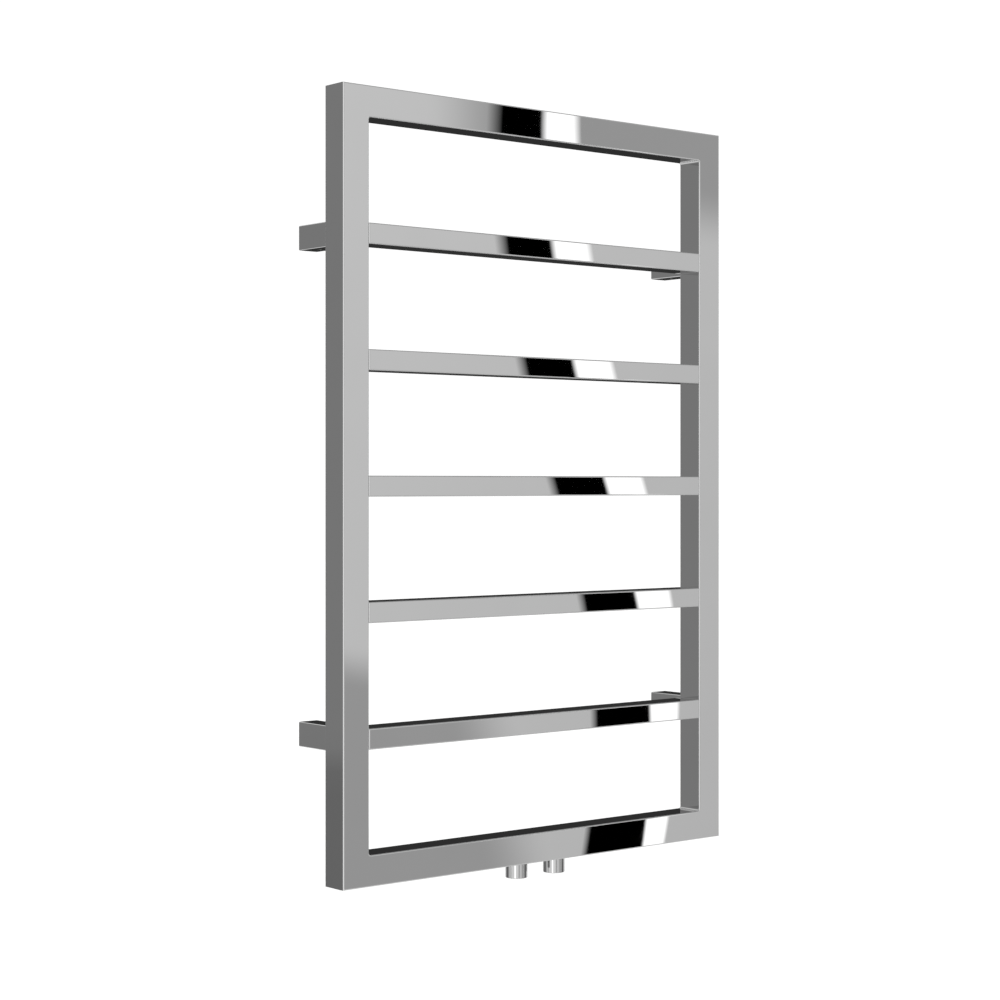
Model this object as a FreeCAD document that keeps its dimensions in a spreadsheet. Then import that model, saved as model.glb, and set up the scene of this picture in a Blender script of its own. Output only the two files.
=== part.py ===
import FreeCAD, Part
import math
import os

import Sketcher

# Wall-hung towel warmer for a hot-water heating circuit, chrome-plated steel, in millimetres.
#
# Frame of the model: the origin is the centre of the four wall fixings on the wall's surface.
# +Z is up, +Y points into the wall, and the rack faces -Y. Left and right are seen from the room.

# ---------------------------------------------------------------- driving dimensions

SIZES = (
    # alias, value in mm (or a plain count), meaning
    ("rack_width", 500.0, "outer width of the frame"),
    ("rack_height", 760.0, "outer height of the frame, without the pipe sockets"),
    ("tube_depth", 30.0, "depth of every tube, front to back"),
    ("upright_width", 30.0, "width of the two upright tubes, seen from the front"),
    ("rail_height", 30.0, "height of the top and bottom tubes, seen from the front"),
    ("rung_height", 20.0, "height of the cross rungs, seen from the front"),
    ("rung_count", 5, "number of cross rungs, evenly spaced with equal clear gaps"),
    ("tube_wall", 1.5, "wall of every tube"),
    ("corner_radius", 1.2, "rounding of the tubes' long edges"),
    ("wall_gap", 50.0, "from the frame's back to the wall"),
    ("pipe_centres", 50.0, "between the axes of the flow and return sockets"),
    ("socket_diameter", 22.0, "outside of a pipe socket"),
    ("socket_thread", 18.6, "plain bore that stands for the socket's G 1/2 thread"),
    ("socket_length", 15.0, "how far a socket stands out below the frame"),
    ("socket_chamfer", 0.5, "chamfer at a socket's mouth"),
    ("divider_thickness", 2.0, "plate that parts the flow from the return in the bottom tube"),
    ("sleeve_width", 22.0, "outside of a bracket sleeve, along X"),
    ("sleeve_height", 24.0, "outside of a bracket sleeve, along Z"),
    ("sleeve_side", 2.0, "side walls of a bracket sleeve"),
    ("sleeve_floor", 3.0, "top and bottom walls of a bracket sleeve"),
    ("sleeve_web", 3.0, "end wall of a bracket sleeve, against the upright"),
    ("sleeve_radius", 1.2, "rounding of a sleeve's long edges"),
    ("wall_shadow", 0.5, "gap that keeps a sleeve off the wall"),
    ("slide_gap", 0.2, "gap between a wall post and its sleeve, on each face"),
    ("post_length", 42.0, "length of a wall post"),
    ("post_seat", 8.0, "thickness of the post's end that the wall screw clamps"),
    ("wall_screw_hole", 6.5, "clearance hole for a 6 mm wall screw"),
    ("wall_screw_head", 13.0, "counterbore for a wall screw's head"),
    ("boss_diameter", 14.0, "threaded boss welded into the back of an upright"),
    ("boss_length", 14.0, "length of a threaded boss, from the upright's back"),
    ("screw_diameter", 6.0, "M6 screw between a sleeve and its boss"),
    ("screw_length", 12.0, "length of that screw under its head"),
    ("screw_head", 10.5, "diameter of its button head"),
    ("screw_head_height", 3.3, "height of its button head"),
    ("screw_key", 4.0, "hexagon key of that screw, across flats"),
    ("screw_key_depth", 2.0, "depth of its hexagon socket"),
    ("clamp_diameter", 5.0, "M5 set screw that clamps a sleeve on its post"),
    ("clamp_from_wall", 20.0, "from the wall to a set screw's axis"),
    ("clamp_key", 2.5, "hexagon key of a set screw, across flats"),
    ("clamp_key_depth", 2.0, "depth of a set screw's hexagon socket"),
    ("clamp_recess", 0.3, "how far a set screw sits inside the sleeve's underside"),
    ("clamp_reach", 0.1, "clearance between a set screw's tip and its post"),
    ("running_gap", 0.05, "radial clearance of a screw in its thread"),
    ("vent_from_side", 50.0, "from the frame's right side to the air vent's axis"),
    ("vent_boss_diameter", 18.0, "boss welded into the back of the top tube"),
    ("vent_boss_height", 4.0, "how far that boss stands out of the tube"),
    ("vent_thread", 11.5, "plain bore and shank that stand for the vent's G 1/4 thread"),
    ("ring_thickness", 1.8, "thickness of the vent's O-ring"),
    ("ring_gap", 0.02, "gap around the O-ring in its seat"),
    ("plug_flats", 15.0, "hexagon of the vent plug, across flats"),
    ("plug_head", 4.0, "height of the vent plug's hexagon"),
    ("plug_shank", 8.0, "length of the vent plug's shank"),
    ("bleed_diameter", 5.0, "M5 bleed screw"),
    ("bleed_stand", 1.5, "how far the bleed screw stands out of the plug"),
    ("bleed_depth", 4.0, "how far the bleed screw reaches into the shank"),
    ("bleed_passage", 3.0, "air passage behind the bleed screw"),
    ("outlet_diameter", 1.6, "air outlet in the underside of the plug's hexagon"),
    ("slot_width", 1.0, "screwdriver slot of the bleed screw"),
    ("slot_depth", 1.2, "depth of that slot"),
)

document = FreeCAD.newDocument("towel_warmer")
sheet = document.addObject("Spreadsheet::Sheet", "Sizes")
for row, (alias, value, meaning) in enumerate(SIZES, start=1):
    sheet.set(f"A{row}", meaning)
    sheet.set(f"B{row}", str(value))
    sheet.setAlias(f"B{row}", alias)
document.recompute()


class Length:
    """A length in mm that keeps the spreadsheet expression it is worked out by."""

    def __init__(self, value, text):
        self.value = value
        self.text = text

    def __add__(self, other):
        return Length(self.value + other.value, f"({self.text} + {other.text})")

    def __sub__(self, other):
        return Length(self.value - other.value, f"({self.text} - {other.text})")

    def __mul__(self, factor):
        return Length(self.value * factor, f"({self.text} * {factor!r})")

    def __truediv__(self, divisor):
        return Length(self.value / divisor, f"({self.text} / {divisor!r})")

    def __neg__(self):
        return self * -1


def size(alias):
    """The driving dimension of that name."""
    return Length(float(sheet.get(alias)), f"Sizes.{alias}")


ZERO = Length(0.0, "0")
RUNGS = int(sheet.get("rung_count"))

# ---------------------------------------------------------------- sketches and features

SKETCH_ORIGIN = (-1, 1)
HORIZONTAL_AXIS = -1
VERTICAL_AXIS = -2
START, END, CENTRE = 1, 2, 3
FULL_TURN = 2 * math.pi
SQRT_3 = math.sqrt(3)


def new_body(label):
    """An empty body whose label names the piece."""
    body = document.addObject("PartDesign::Body", label)
    body.Label = label
    return body


def put(piece, x, y, z):
    """Place a piece's own origin at (x, y, z)."""
    for axis, length in zip("xyz", (x, y, z)):
        piece.setExpression(f".Placement.Base.{axis}", length.text)


def new_sketch(body, plane, offset=ZERO):
    """A sketch on one of the body's own planes, moved along the plane's normal by an offset."""
    support = next(item for item in body.Origin.OriginFeatures if item.Role == plane)
    sketch = body.newObject("Sketcher::SketchObject", f"{body.Name}_sketch")
    sketch.AttachmentSupport = [(support, "")]
    sketch.MapMode = "FlatFace"
    if offset is not ZERO:
        sketch.setExpression(".AttachmentOffset.Base.z", offset.text)
    return sketch


def bind(sketch, kind, places, length):
    """Add a dimension to a sketch and bind it to the spreadsheet."""
    index = sketch.addConstraint(Sketcher.Constraint(kind, *places, length.value))
    sketch.setExpression(f"Constraints[{index}]", length.text)


def pin(sketch, shape, point, x, y):
    """Fix one point of a sketch's geometry at (x, y)."""
    for kind, axis, length in (("DistanceX", VERTICAL_AXIS, x), ("DistanceY", HORIZONTAL_AXIS, y)):
        if length is ZERO:
            sketch.addConstraint(Sketcher.Constraint("PointOnObject", shape, point, axis))
        elif length.value > 0:
            bind(sketch, kind, (*SKETCH_ORIGIN, shape, point), length)
        else:
            bind(sketch, kind, (shape, point, *SKETCH_ORIGIN), -length)


def vector(x, y):
    """The sketch point (x, y) as FreeCAD's own vector."""
    return FreeCAD.Vector(x.value, y.value, 0)


def add_polygon(sketch, corners):
    """A closed outline through the corners, each corner a pair of lengths."""
    following = corners[1:] + corners[:1]
    lines = [sketch.addGeometry(Part.LineSegment(vector(*a), vector(*b)))
             for a, b in zip(corners, following)]
    for line, successor in zip(lines, lines[1:] + lines[:1]):
        sketch.addConstraint(Sketcher.Constraint("Coincident", line, END, successor, START))
    for line, corner in zip(lines, corners):
        pin(sketch, line, START, *corner)


def add_rectangle(sketch, width, height, x=ZERO, y=ZERO):
    """A rectangle centred on (x, y)."""
    left, right = x - width / 2, x + width / 2
    low, high = y - height / 2, y + height / 2
    add_polygon(sketch, [(left, low), (right, low), (right, high), (left, high)])


def add_hexagon(sketch, across_flats):
    """A regular hexagon about the sketch's origin, with two of its flats upright."""
    half = across_flats / 2
    corner = across_flats / SQRT_3
    add_polygon(sketch, [(half, -corner / 2), (half, corner / 2), (ZERO, corner),
                         (-half, corner / 2), (-half, -corner / 2), (ZERO, -corner)])


def add_circle(sketch, diameter, x=ZERO, y=ZERO):
    """A circle centred on (x, y)."""
    upright = FreeCAD.Vector(0, 0, 1)
    circle = sketch.addGeometry(Part.Circle(vector(x, y), upright, diameter.value / 2))
    pin(sketch, circle, CENTRE, x, y)
    bind(sketch, "Diameter", (circle,), diameter)


def add_rounded_rectangle(sketch, width, height, radius):
    """A rectangle with round corners about the sketch's origin: four arcs joined by four lines."""
    reach_x, reach_y = width / 2 - radius, height / 2 - radius
    centres = [(reach_x, -reach_y), (reach_x, reach_y), (-reach_x, reach_y), (-reach_x, -reach_y)]
    upright = FreeCAD.Vector(0, 0, 1)
    arcs = []
    for quarter, centre in enumerate(centres):
        circle = Part.Circle(vector(*centre), upright, radius.value)
        first_angle = (quarter - 1) * FULL_TURN / 4
        arcs.append(sketch.addGeometry(Part.ArcOfCircle(circle, first_angle, first_angle + FULL_TURN / 4)))
        pin(sketch, arcs[-1], CENTRE, *centre)
        bind(sketch, "Radius", (arcs[-1],), radius)
    for arc, successor in zip(arcs, arcs[1:] + arcs[:1]):
        ends = sketch.getPoint(arc, END), sketch.getPoint(successor, START)
        line = sketch.addGeometry(Part.LineSegment(*ends))
        sketch.addConstraint(Sketcher.Constraint("Tangent", arc, END, line, START))
        sketch.addConstraint(Sketcher.Constraint("Tangent", line, END, successor, START))


def add_pad(body, sketch, length, centred=False):
    """Extrude a sketch along its plane's normal, or to both sides of the plane."""
    pad = body.newObject("PartDesign::Pad", f"{body.Name}_pad")
    pad.Profile = sketch
    pad.setExpression("Length", length.text)
    if centred:
        pad.SideType = "Symmetric"


def add_pocket(body, sketch, length=None, along_normal=False, centred=False):
    """Cut a sketch out of the body, against its plane's normal unless along_normal, through
    everything unless a length is given."""
    pocket = body.newObject("PartDesign::Pocket", f"{body.Name}_pocket")
    pocket.Profile = sketch
    pocket.Reversed = along_normal
    if length is None:
        pocket.Type = "ThroughAll"
    else:
        pocket.setExpression("Length", length.text)
    if centred:
        pocket.SideType = "Symmetric"


def add_turning(body, kind, plane, axis, profile):
    """Turn a closed profile a full circle about one axis of its sketch: a Revolution adds it
    to the body and a Groove takes it away."""
    sketch = new_sketch(body, plane)
    add_polygon(sketch, profile)
    turning = body.newObject(f"PartDesign::{kind}", f"{body.Name}_turning")
    turning.Profile = sketch
    turning.ReferenceAxis = (sketch, [axis])
    turning.Angle = 360


# ---------------------------------------------------------------- places on the rack

INNER_DEPTH = size("tube_depth") - size("tube_wall") * 2
HALF_WIDTH = size("rack_width") / 2
HALF_HEIGHT = size("rack_height") / 2
UPRIGHT_X = HALF_WIDTH - size("upright_width") / 2
RAIL_Z = HALF_HEIGHT - size("rail_height") / 2
FRAME_BACK = -size("wall_gap")
FRAME_Y = FRAME_BACK - size("tube_depth") / 2
RUNG_LENGTH = size("rack_width") - size("upright_width") * 2
CLEAR_HEIGHT = size("rack_height") - size("rail_height") * 2 - size("rung_height") * RUNGS
RUNG_PITCH = CLEAR_HEIGHT / (RUNGS + 1) + size("rung_height")
RUNG_LEVELS = [RUNG_PITCH * ((RUNGS - 1) / 2 - number) for number in range(RUNGS)]
BRACKET_LEVELS = (RUNG_LEVELS[0], RUNG_LEVELS[-1])
SOCKET_X = size("pipe_centres") / 2
VENT_X = HALF_WIDTH - size("vent_from_side")
SLEEVE_DEPTH = size("wall_gap") - size("wall_shadow")
CAVITY_WIDTH = size("sleeve_width") - size("sleeve_side") * 2
CAVITY_HEIGHT = size("sleeve_height") - size("sleeve_floor") * 2
POST_WIDTH = CAVITY_WIDTH - size("slide_gap") * 2
POST_HEIGHT = CAVITY_HEIGHT - size("slide_gap") * 2

LEFT, RIGHT = -1, 1
SIDES = (("left", LEFT), ("right", RIGHT))
BRACKETS = [(f"{level_name}_{side_name}", UPRIGHT_X * side, level)
            for level_name, level in zip(("upper", "lower"), BRACKET_LEVELS)
            for side_name, side in SIDES]

nodes = {}

# ---------------------------------------------------------------- frame


def add_tube_section(body, plane, width, height, length):
    """A hollow square tube about one of the body's axes, half to each side of the origin."""
    sketch = new_sketch(body, plane)
    add_rounded_rectangle(sketch, width, height, size("corner_radius"))
    add_rectangle(sketch, width - size("tube_wall") * 2, height - size("tube_wall") * 2)
    add_pad(body, sketch, length, centred=True)


def add_mitres(body, corners):
    """Cut the wedges that leave the tube's ends mitred, one triangle of points for each."""
    sketch = new_sketch(body, "XZ_Plane")
    for triangle in corners:
        add_polygon(sketch, triangle)
    add_pocket(body, sketch, centred=True)


def upright(side_name, side):
    """One upright tube, with mitred ends, a port for each rung and holes for its two bosses."""
    body = new_body(f"{side_name}_upright")
    half, top = size("upright_width") / 2, HALF_HEIGHT
    add_tube_section(body, "XY_Plane", size("upright_width"), size("tube_depth"), size("rack_height"))
    inner, outer = half * -side, half * side
    add_mitres(body, [[(outer, end), (inner, end), (inner, end - size("rail_height") * sign)]
                      for sign, end in ((1, top), (-1, -top))])
    ports = new_sketch(body, "YZ_Plane")
    for level in RUNG_LEVELS:
        port_y = ZERO if abs(level.value) < 1e-6 else level
        add_rectangle(ports, INNER_DEPTH, size("rung_height") - size("tube_wall") * 2, y=port_y)
    add_pocket(body, ports, along_normal=side == LEFT)
    bosses = new_sketch(body, "XZ_Plane")
    for level in BRACKET_LEVELS:
        add_circle(bosses, size("boss_diameter"), y=level)
    add_pocket(body, bosses)
    put(body, UPRIGHT_X * side, FRAME_Y, ZERO)
    nodes[body.Label] = body


def rail(label, side):
    """The top tube (side 1) or the bottom tube (side -1), with mitred ends."""
    body = new_body(label)
    outer, inner = size("rail_height") / 2 * side, size("rail_height") / 2 * -side
    add_tube_section(body, "YZ_Plane", size("tube_depth"), size("rail_height"), size("rack_width"))
    add_mitres(body, [[(end, outer), (end, inner), (end - size("upright_width") * sign, inner)]
                      for sign, end in ((1, HALF_WIDTH), (-1, -HALF_WIDTH))])
    put(body, ZERO, FRAME_Y, RAIL_Z * side)
    nodes[label] = body
    return body


def top_tube():
    """The top tube, with the hole for the vent's boss in its back."""
    body = rail("top_tube", 1)
    sketch = new_sketch(body, "XZ_Plane")
    add_circle(sketch, size("vent_boss_diameter"), x=VENT_X)
    add_pocket(body, sketch)


def bottom_tube():
    """The bottom tube, with the holes for the two pipe sockets in its underside."""
    body = rail("bottom_tube", -1)
    sketch = new_sketch(body, "XY_Plane")
    for side in (LEFT, RIGHT):
        add_circle(sketch, size("socket_diameter"), x=SOCKET_X * side)
    add_pocket(body, sketch)


def rung(number, level):
    """One cross rung, welded between the uprights and open to both."""
    body = new_body(f"rung_{number}")
    add_tube_section(body, "YZ_Plane", size("tube_depth"), size("rung_height"), RUNG_LENGTH)
    put(body, ZERO, FRAME_Y, level)
    nodes[body.Label] = body


def flow_divider():
    """The plate across the inside of the bottom tube that sends the water round by the rungs."""
    plate = document.addObject("Part::Box", "flow_divider")
    inner_height = size("rail_height") - size("tube_wall") * 2
    for name, length in (("Length", size("divider_thickness")), ("Width", INNER_DEPTH),
                         ("Height", inner_height)):
        plate.setExpression(name, length.text)
    put(plate, -size("divider_thickness") / 2, FRAME_Y - INNER_DEPTH / 2, -RAIL_Z - inner_height / 2)
    nodes[plate.Label] = plate


def pipe_socket(label, side):
    """A round socket set through the bottom tube's underside, open into the tube."""
    body = new_body(label)
    inner, outer = size("socket_thread") / 2, size("socket_diameter") / 2
    chamfer = size("socket_chamfer")
    top, foot = size("tube_wall"), -size("socket_length")
    add_turning(body, "Revolution", "XZ_Plane", "V_Axis",
                [(inner, foot), (outer - chamfer, foot), (outer, foot + chamfer), (outer, top),
                 (inner, top)])
    put(body, SOCKET_X * side, FRAME_Y, -HALF_HEIGHT)
    nodes[label] = body


# ---------------------------------------------------------------- wall brackets


def sleeve(name, x, z):
    """The hollow block behind an upright: open to the wall, closed by a web at the upright."""
    body = new_body(f"{name}_sleeve")
    outline = new_sketch(body, "XZ_Plane")
    add_rounded_rectangle(outline, size("sleeve_width"), size("sleeve_height"), size("sleeve_radius"))
    add_pad(body, outline, SLEEVE_DEPTH)
    cavity = new_sketch(body, "XZ_Plane")
    add_rectangle(cavity, CAVITY_WIDTH, CAVITY_HEIGHT)
    add_pocket(body, cavity, length=SLEEVE_DEPTH - size("sleeve_web"), along_normal=True)
    screw_hole = new_sketch(body, "XZ_Plane")
    add_circle(screw_hole, size("screw_diameter") + size("slide_gap") * 2)
    add_pocket(body, screw_hole, along_normal=True)
    clamp_hole = new_sketch(body, "XY_Plane")
    add_circle(clamp_hole, size("clamp_diameter") + size("running_gap") * 2,
               y=size("wall_shadow") - size("clamp_from_wall"))
    add_pocket(body, clamp_hole)
    put(body, x, -size("wall_shadow"), z)
    nodes[body.Label] = body


def post(name, x, z):
    """The block screwed to the wall that carries a sleeve, bored and counterbored for its screw."""
    body = new_body(f"{name}_post")
    outline = new_sketch(body, "XZ_Plane")
    add_rectangle(outline, POST_WIDTH, POST_HEIGHT)
    add_pad(body, outline, size("post_length"))
    hole, head = size("wall_screw_hole") / 2, size("wall_screw_head") / 2
    seat, front = -size("post_seat"), -size("post_length")
    add_turning(body, "Groove", "YZ_Plane", "H_Axis",
                [(ZERO, ZERO), (ZERO, hole), (seat, hole), (seat, head), (front, head), (front, ZERO)])
    put(body, x, ZERO, z)
    nodes[body.Label] = body


def boss(name, x, z):
    """The blind threaded bush welded into an upright's back, where a sleeve is screwed on."""
    body = new_body(f"{name}_boss")
    outer, thread = size("boss_diameter") / 2, size("screw_diameter") / 2
    end = -size("boss_length")
    bottom = size("sleeve_web") - size("screw_length") - size("tube_wall")
    add_turning(body, "Revolution", "YZ_Plane", "H_Axis",
                [(end, ZERO), (bottom, ZERO), (bottom, thread), (ZERO, thread), (ZERO, outer),
                 (end, outer)])
    put(body, x, FRAME_BACK, z)
    nodes[body.Label] = body


def bracket_screw(name, x, z):
    """One button-head screw through a sleeve's web into its boss."""
    body = new_body(f"{name}_screw")
    shank, head = size("screw_diameter") / 2, size("screw_head") / 2
    top, crown = size("screw_head_height"), size("screw_key") * 0.75
    add_turning(body, "Revolution", "YZ_Plane", "H_Axis",
                [(-size("screw_length"), ZERO), (top, ZERO), (top, crown), (top / 3, head),
                 (ZERO, head), (ZERO, shank), (-size("screw_length"), shank)])
    # The XZ plane's normal points to -Y, so the key's socket is cut along it from the head's top.
    key = new_sketch(body, "XZ_Plane", offset=-top)
    add_hexagon(key, size("screw_key"))
    add_pocket(body, key, length=size("screw_key_depth"), along_normal=True)
    put(body, x, FRAME_BACK + size("sleeve_web"), z)
    return body


def clamp_screw(name, x, z):
    """The set screw in a sleeve's underside: turned in, it clamps the sleeve on its post."""
    body = new_body(f"{name}_set_screw")
    radius = size("clamp_diameter") / 2
    length = size("sleeve_floor") + size("slide_gap") - size("clamp_recess") - size("clamp_reach")
    tip = radius / 5
    add_turning(body, "Revolution", "XZ_Plane", "V_Axis",
                [(ZERO, ZERO), (radius, ZERO), (radius, length - tip), (radius - tip, length),
                 (ZERO, length)])
    key = new_sketch(body, "XY_Plane")
    add_hexagon(key, size("clamp_key"))
    add_pocket(body, key, length=size("clamp_key_depth"), along_normal=True)
    put(body, x, -size("clamp_from_wall"), z - size("sleeve_height") / 2 + size("clamp_recess"))
    nodes[body.Label] = body


# ---------------------------------------------------------------- air vent

# The vent's own origin is on its axis, at the outer face of its boss.
VENT_Y = FRAME_BACK + size("vent_boss_height")
VENT_BORE = size("vent_thread") / 2
RING_SEAT = VENT_BORE + size("ring_thickness") + size("ring_gap") * 2


def vent_boss():
    """The threaded ring welded into the top tube's back, with a seat for the O-ring."""
    body = new_body("vent_boss")
    outer = size("vent_boss_diameter") / 2
    inner_end = -size("vent_boss_height") - size("tube_wall")
    seat = -size("ring_thickness") - size("ring_gap") * 2
    add_turning(body, "Revolution", "YZ_Plane", "H_Axis",
                [(inner_end, VENT_BORE), (seat, VENT_BORE), (seat, RING_SEAT), (ZERO, RING_SEAT),
                 (ZERO, outer), (inner_end, outer)])
    put(body, VENT_X, VENT_Y, RAIL_Z)
    nodes[body.Label] = body


def vent_plug():
    """The hexagon plug screwed into the boss, bored for the bleed screw and its air passage."""
    body = new_body("vent_plug")
    head = new_sketch(body, "XZ_Plane")
    add_hexagon(head, size("plug_flats"))
    pad = body.newObject("PartDesign::Pad", f"{body.Name}_pad")
    pad.Profile = head
    pad.Reversed = True
    pad.setExpression("Length", size("plug_head").text)
    shank_end = -size("plug_shank")
    add_turning(body, "Revolution", "YZ_Plane", "H_Axis",
                [(shank_end, ZERO), (ZERO, ZERO), (ZERO, VENT_BORE), (shank_end, VENT_BORE)])
    thread = size("bleed_diameter") / 2 + size("running_gap")
    passage = size("bleed_passage") / 2
    step = -size("bleed_depth") - size("running_gap")
    add_turning(body, "Groove", "YZ_Plane", "H_Axis",
                [(shank_end, ZERO), (shank_end, passage), (step, passage), (step, thread),
                 (size("plug_head"), thread), (size("plug_head"), ZERO)])
    outlet = new_sketch(body, "XY_Plane")
    add_circle(outlet, size("outlet_diameter"), y=size("plug_head") / 2)
    add_pocket(body, outlet)
    put(body, VENT_X, VENT_Y, RAIL_Z)
    nodes[body.Label] = body


def vent_o_ring():
    """The O-ring that seals the plug's head against the boss."""
    ring = document.addObject("Part::Torus", "vent_o_ring")
    middle = VENT_BORE + size("ring_gap") + size("ring_thickness") / 2
    ring.setExpression("Radius1", middle.text)
    ring.setExpression("Radius2", (size("ring_thickness") / 2).text)
    put(ring, VENT_X, VENT_Y - size("ring_gap") - size("ring_thickness") / 2, RAIL_Z)
    ring.Placement.Rotation = FreeCAD.Rotation(FreeCAD.Vector(1, 0, 0), 90)
    nodes[ring.Label] = ring


def bleed_screw():
    """The slotted screw in the plug: turned out, it lets the air past."""
    body = new_body("bleed_screw")
    radius = size("bleed_diameter") / 2
    inner_end, top = -size("bleed_depth"), size("plug_head") + size("bleed_stand")
    tip = radius / 5
    add_turning(body, "Revolution", "YZ_Plane", "H_Axis",
                [(inner_end, ZERO), (top, ZERO), (top, radius), (inner_end + tip, radius),
                 (inner_end, radius - tip)])
    slot = new_sketch(body, "XZ_Plane", offset=-top)
    add_rectangle(slot, size("bleed_diameter") * 2, size("slot_width"))
    add_pocket(body, slot, length=size("slot_depth"), along_normal=True)
    put(body, VENT_X, VENT_Y, RAIL_Z)
    nodes[body.Label] = body


# ---------------------------------------------------------------- assembly

for side_name, side in SIDES:
    upright(side_name, side)
top_tube()
bottom_tube()
for number, level in enumerate(RUNG_LEVELS, start=1):
    rung(number, level)
flow_divider()
pipe_socket("flow_socket", LEFT)
pipe_socket("return_socket", RIGHT)

for name, x, z in BRACKETS:
    sleeve(name, x, z)
    post(name, x, z)
    boss(name, x, z)
    clamp_screw(name, x, z)
screws = document.addObject("Part::Compound", "bracket_screws")
screws.Links = [bracket_screw(name, x, z) for name, x, z in BRACKETS]
nodes[screws.Label] = screws

vent_boss()
vent_plug()
vent_o_ring()
bleed_screw()

# ---------------------------------------------------------------- checks and export

document.recompute()
for item in document.Objects:
    if "Invalid" in item.State or "Error" in item.State:
        raise RuntimeError(f"{item.Label} failed: {item.State}")
    if item.TypeId in ("PartDesign::Pocket", "PartDesign::Groove"):
        if item.Shape.Volume >= item.BaseFeature.Shape.Volume - 1e-3:
            raise RuntimeError(f"{item.Label} cuts nothing")

os.makedirs("parts", exist_ok=True)
for label, item in nodes.items():
    if item.Shape.isNull() or not item.Shape.isValid():
        raise RuntimeError(f"{label} has no valid shape")
    item.Shape.exportStep(f"parts/{label}.step")
    print(f"{label}: {len(item.Shape.Solids)} solid(s), {item.Shape.Volume / 1000:.2f} cm3")
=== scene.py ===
"""Looks of a wall-hung towel warmer: chrome tubes, wall brackets, pipe sockets and air vent.

Everything is in metres, in the frame of the CAD model: +Z is up, +Y points into the wall and the
rack faces -Y. Left and right are seen from the room.
"""

import logging
import math
from collections.abc import Sequence
from dataclasses import dataclass, field
from enum import Enum

import bpy
import numpy as np
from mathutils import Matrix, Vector

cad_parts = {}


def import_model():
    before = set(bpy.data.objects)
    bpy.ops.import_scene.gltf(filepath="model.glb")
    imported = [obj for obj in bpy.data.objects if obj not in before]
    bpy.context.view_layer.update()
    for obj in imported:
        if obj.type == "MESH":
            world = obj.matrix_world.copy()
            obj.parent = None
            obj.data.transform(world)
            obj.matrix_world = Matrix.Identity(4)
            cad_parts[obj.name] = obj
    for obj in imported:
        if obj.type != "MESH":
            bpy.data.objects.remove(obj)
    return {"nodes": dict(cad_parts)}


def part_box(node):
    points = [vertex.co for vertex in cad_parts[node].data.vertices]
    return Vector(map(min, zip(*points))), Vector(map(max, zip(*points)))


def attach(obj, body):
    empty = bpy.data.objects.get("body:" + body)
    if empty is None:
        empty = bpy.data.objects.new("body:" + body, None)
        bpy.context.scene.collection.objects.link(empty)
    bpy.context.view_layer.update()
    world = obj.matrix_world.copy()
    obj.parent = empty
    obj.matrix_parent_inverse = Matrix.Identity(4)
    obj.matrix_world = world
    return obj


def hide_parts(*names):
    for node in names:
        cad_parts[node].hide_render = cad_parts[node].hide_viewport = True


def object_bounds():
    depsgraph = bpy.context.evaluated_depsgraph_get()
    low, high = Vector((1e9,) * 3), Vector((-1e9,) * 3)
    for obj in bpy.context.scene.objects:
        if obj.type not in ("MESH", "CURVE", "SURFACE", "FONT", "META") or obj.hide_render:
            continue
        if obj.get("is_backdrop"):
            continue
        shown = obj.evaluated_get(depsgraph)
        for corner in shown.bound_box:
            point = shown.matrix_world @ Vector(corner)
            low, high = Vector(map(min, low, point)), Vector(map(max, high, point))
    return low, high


log = logging.getLogger("towel_warmer")
MM = 0.001
MICRON = 1e-6
# The smallest rounding that a corner is drawn with.
LEAST_ROUNDING = 1e-5
# Nearly all of a noise texture's values lie between these two.
NOISE_RANGE = (0.3, 0.7)


# ---------------------------------------------------------------- surfaces


# Directions in the frame of the CAD model.
UP, DOWN = np.array([0.0, 0.0, 1.0]), np.array([0.0, 0.0, -1.0])
TO_WALL, TO_ROOM = np.array([0.0, 1.0, 0.0]), np.array([0.0, -1.0, 0.0])


class Axis(Enum):
    """The axis that a tube, a screw or a run of polishing marks lies along."""

    X = 0
    Y = 1
    Z = 2


def lift(flat: np.ndarray, along: np.ndarray | float, axis: Axis) -> np.ndarray:
    """Stand a section's two coordinates up in space, square to an axis.

    Args:
        flat: (..., 2) coordinates in the order of the two other axes.
        along: the coordinate on the axis itself.
        axis: the axis.

    Returns:
        (..., 3) positions.
    """
    others = [number for number in range(3) if number != axis.value]
    space = np.zeros(flat.shape[:-1] + (3,))
    space[..., others[0]], space[..., others[1]] = flat[..., 0], flat[..., 1]
    space[..., axis.value] = along
    return space


def section_size(size: np.ndarray, axis: Axis) -> np.ndarray:
    """The two sizes of a box that are square to an axis."""
    return np.delete(size, axis.value)


def rays(turn: np.ndarray) -> np.ndarray:
    """Unit vectors (cos a, sin a) for a row of angles in radians."""
    return np.stack([np.cos(turn), np.sin(turn)], axis=1)


def grid_quads(rows: int, columns: int) -> np.ndarray:
    """Corner numbers of the quads between the points of a grid, counted row by row."""
    number = np.arange(rows * columns).reshape(rows, columns)
    corners = [number[:-1, :-1], number[:-1, 1:], number[1:, 1:], number[1:, :-1]]
    return np.stack(corners, axis=-1).reshape(-1, 4)


def circle(radius: float, steps: int, start: float = 0.0) -> np.ndarray:
    """Points radius * (cos a, sin a), with a over one turn from a start angle in radians.

    Args:
        radius: the circle's radius.
        steps: number of points, the first not repeated.
        start: angle of the first point.

    Returns:
        (steps, 2) points.
    """
    return radius * rays(start + np.arange(steps) * 2 * math.pi / steps)


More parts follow.
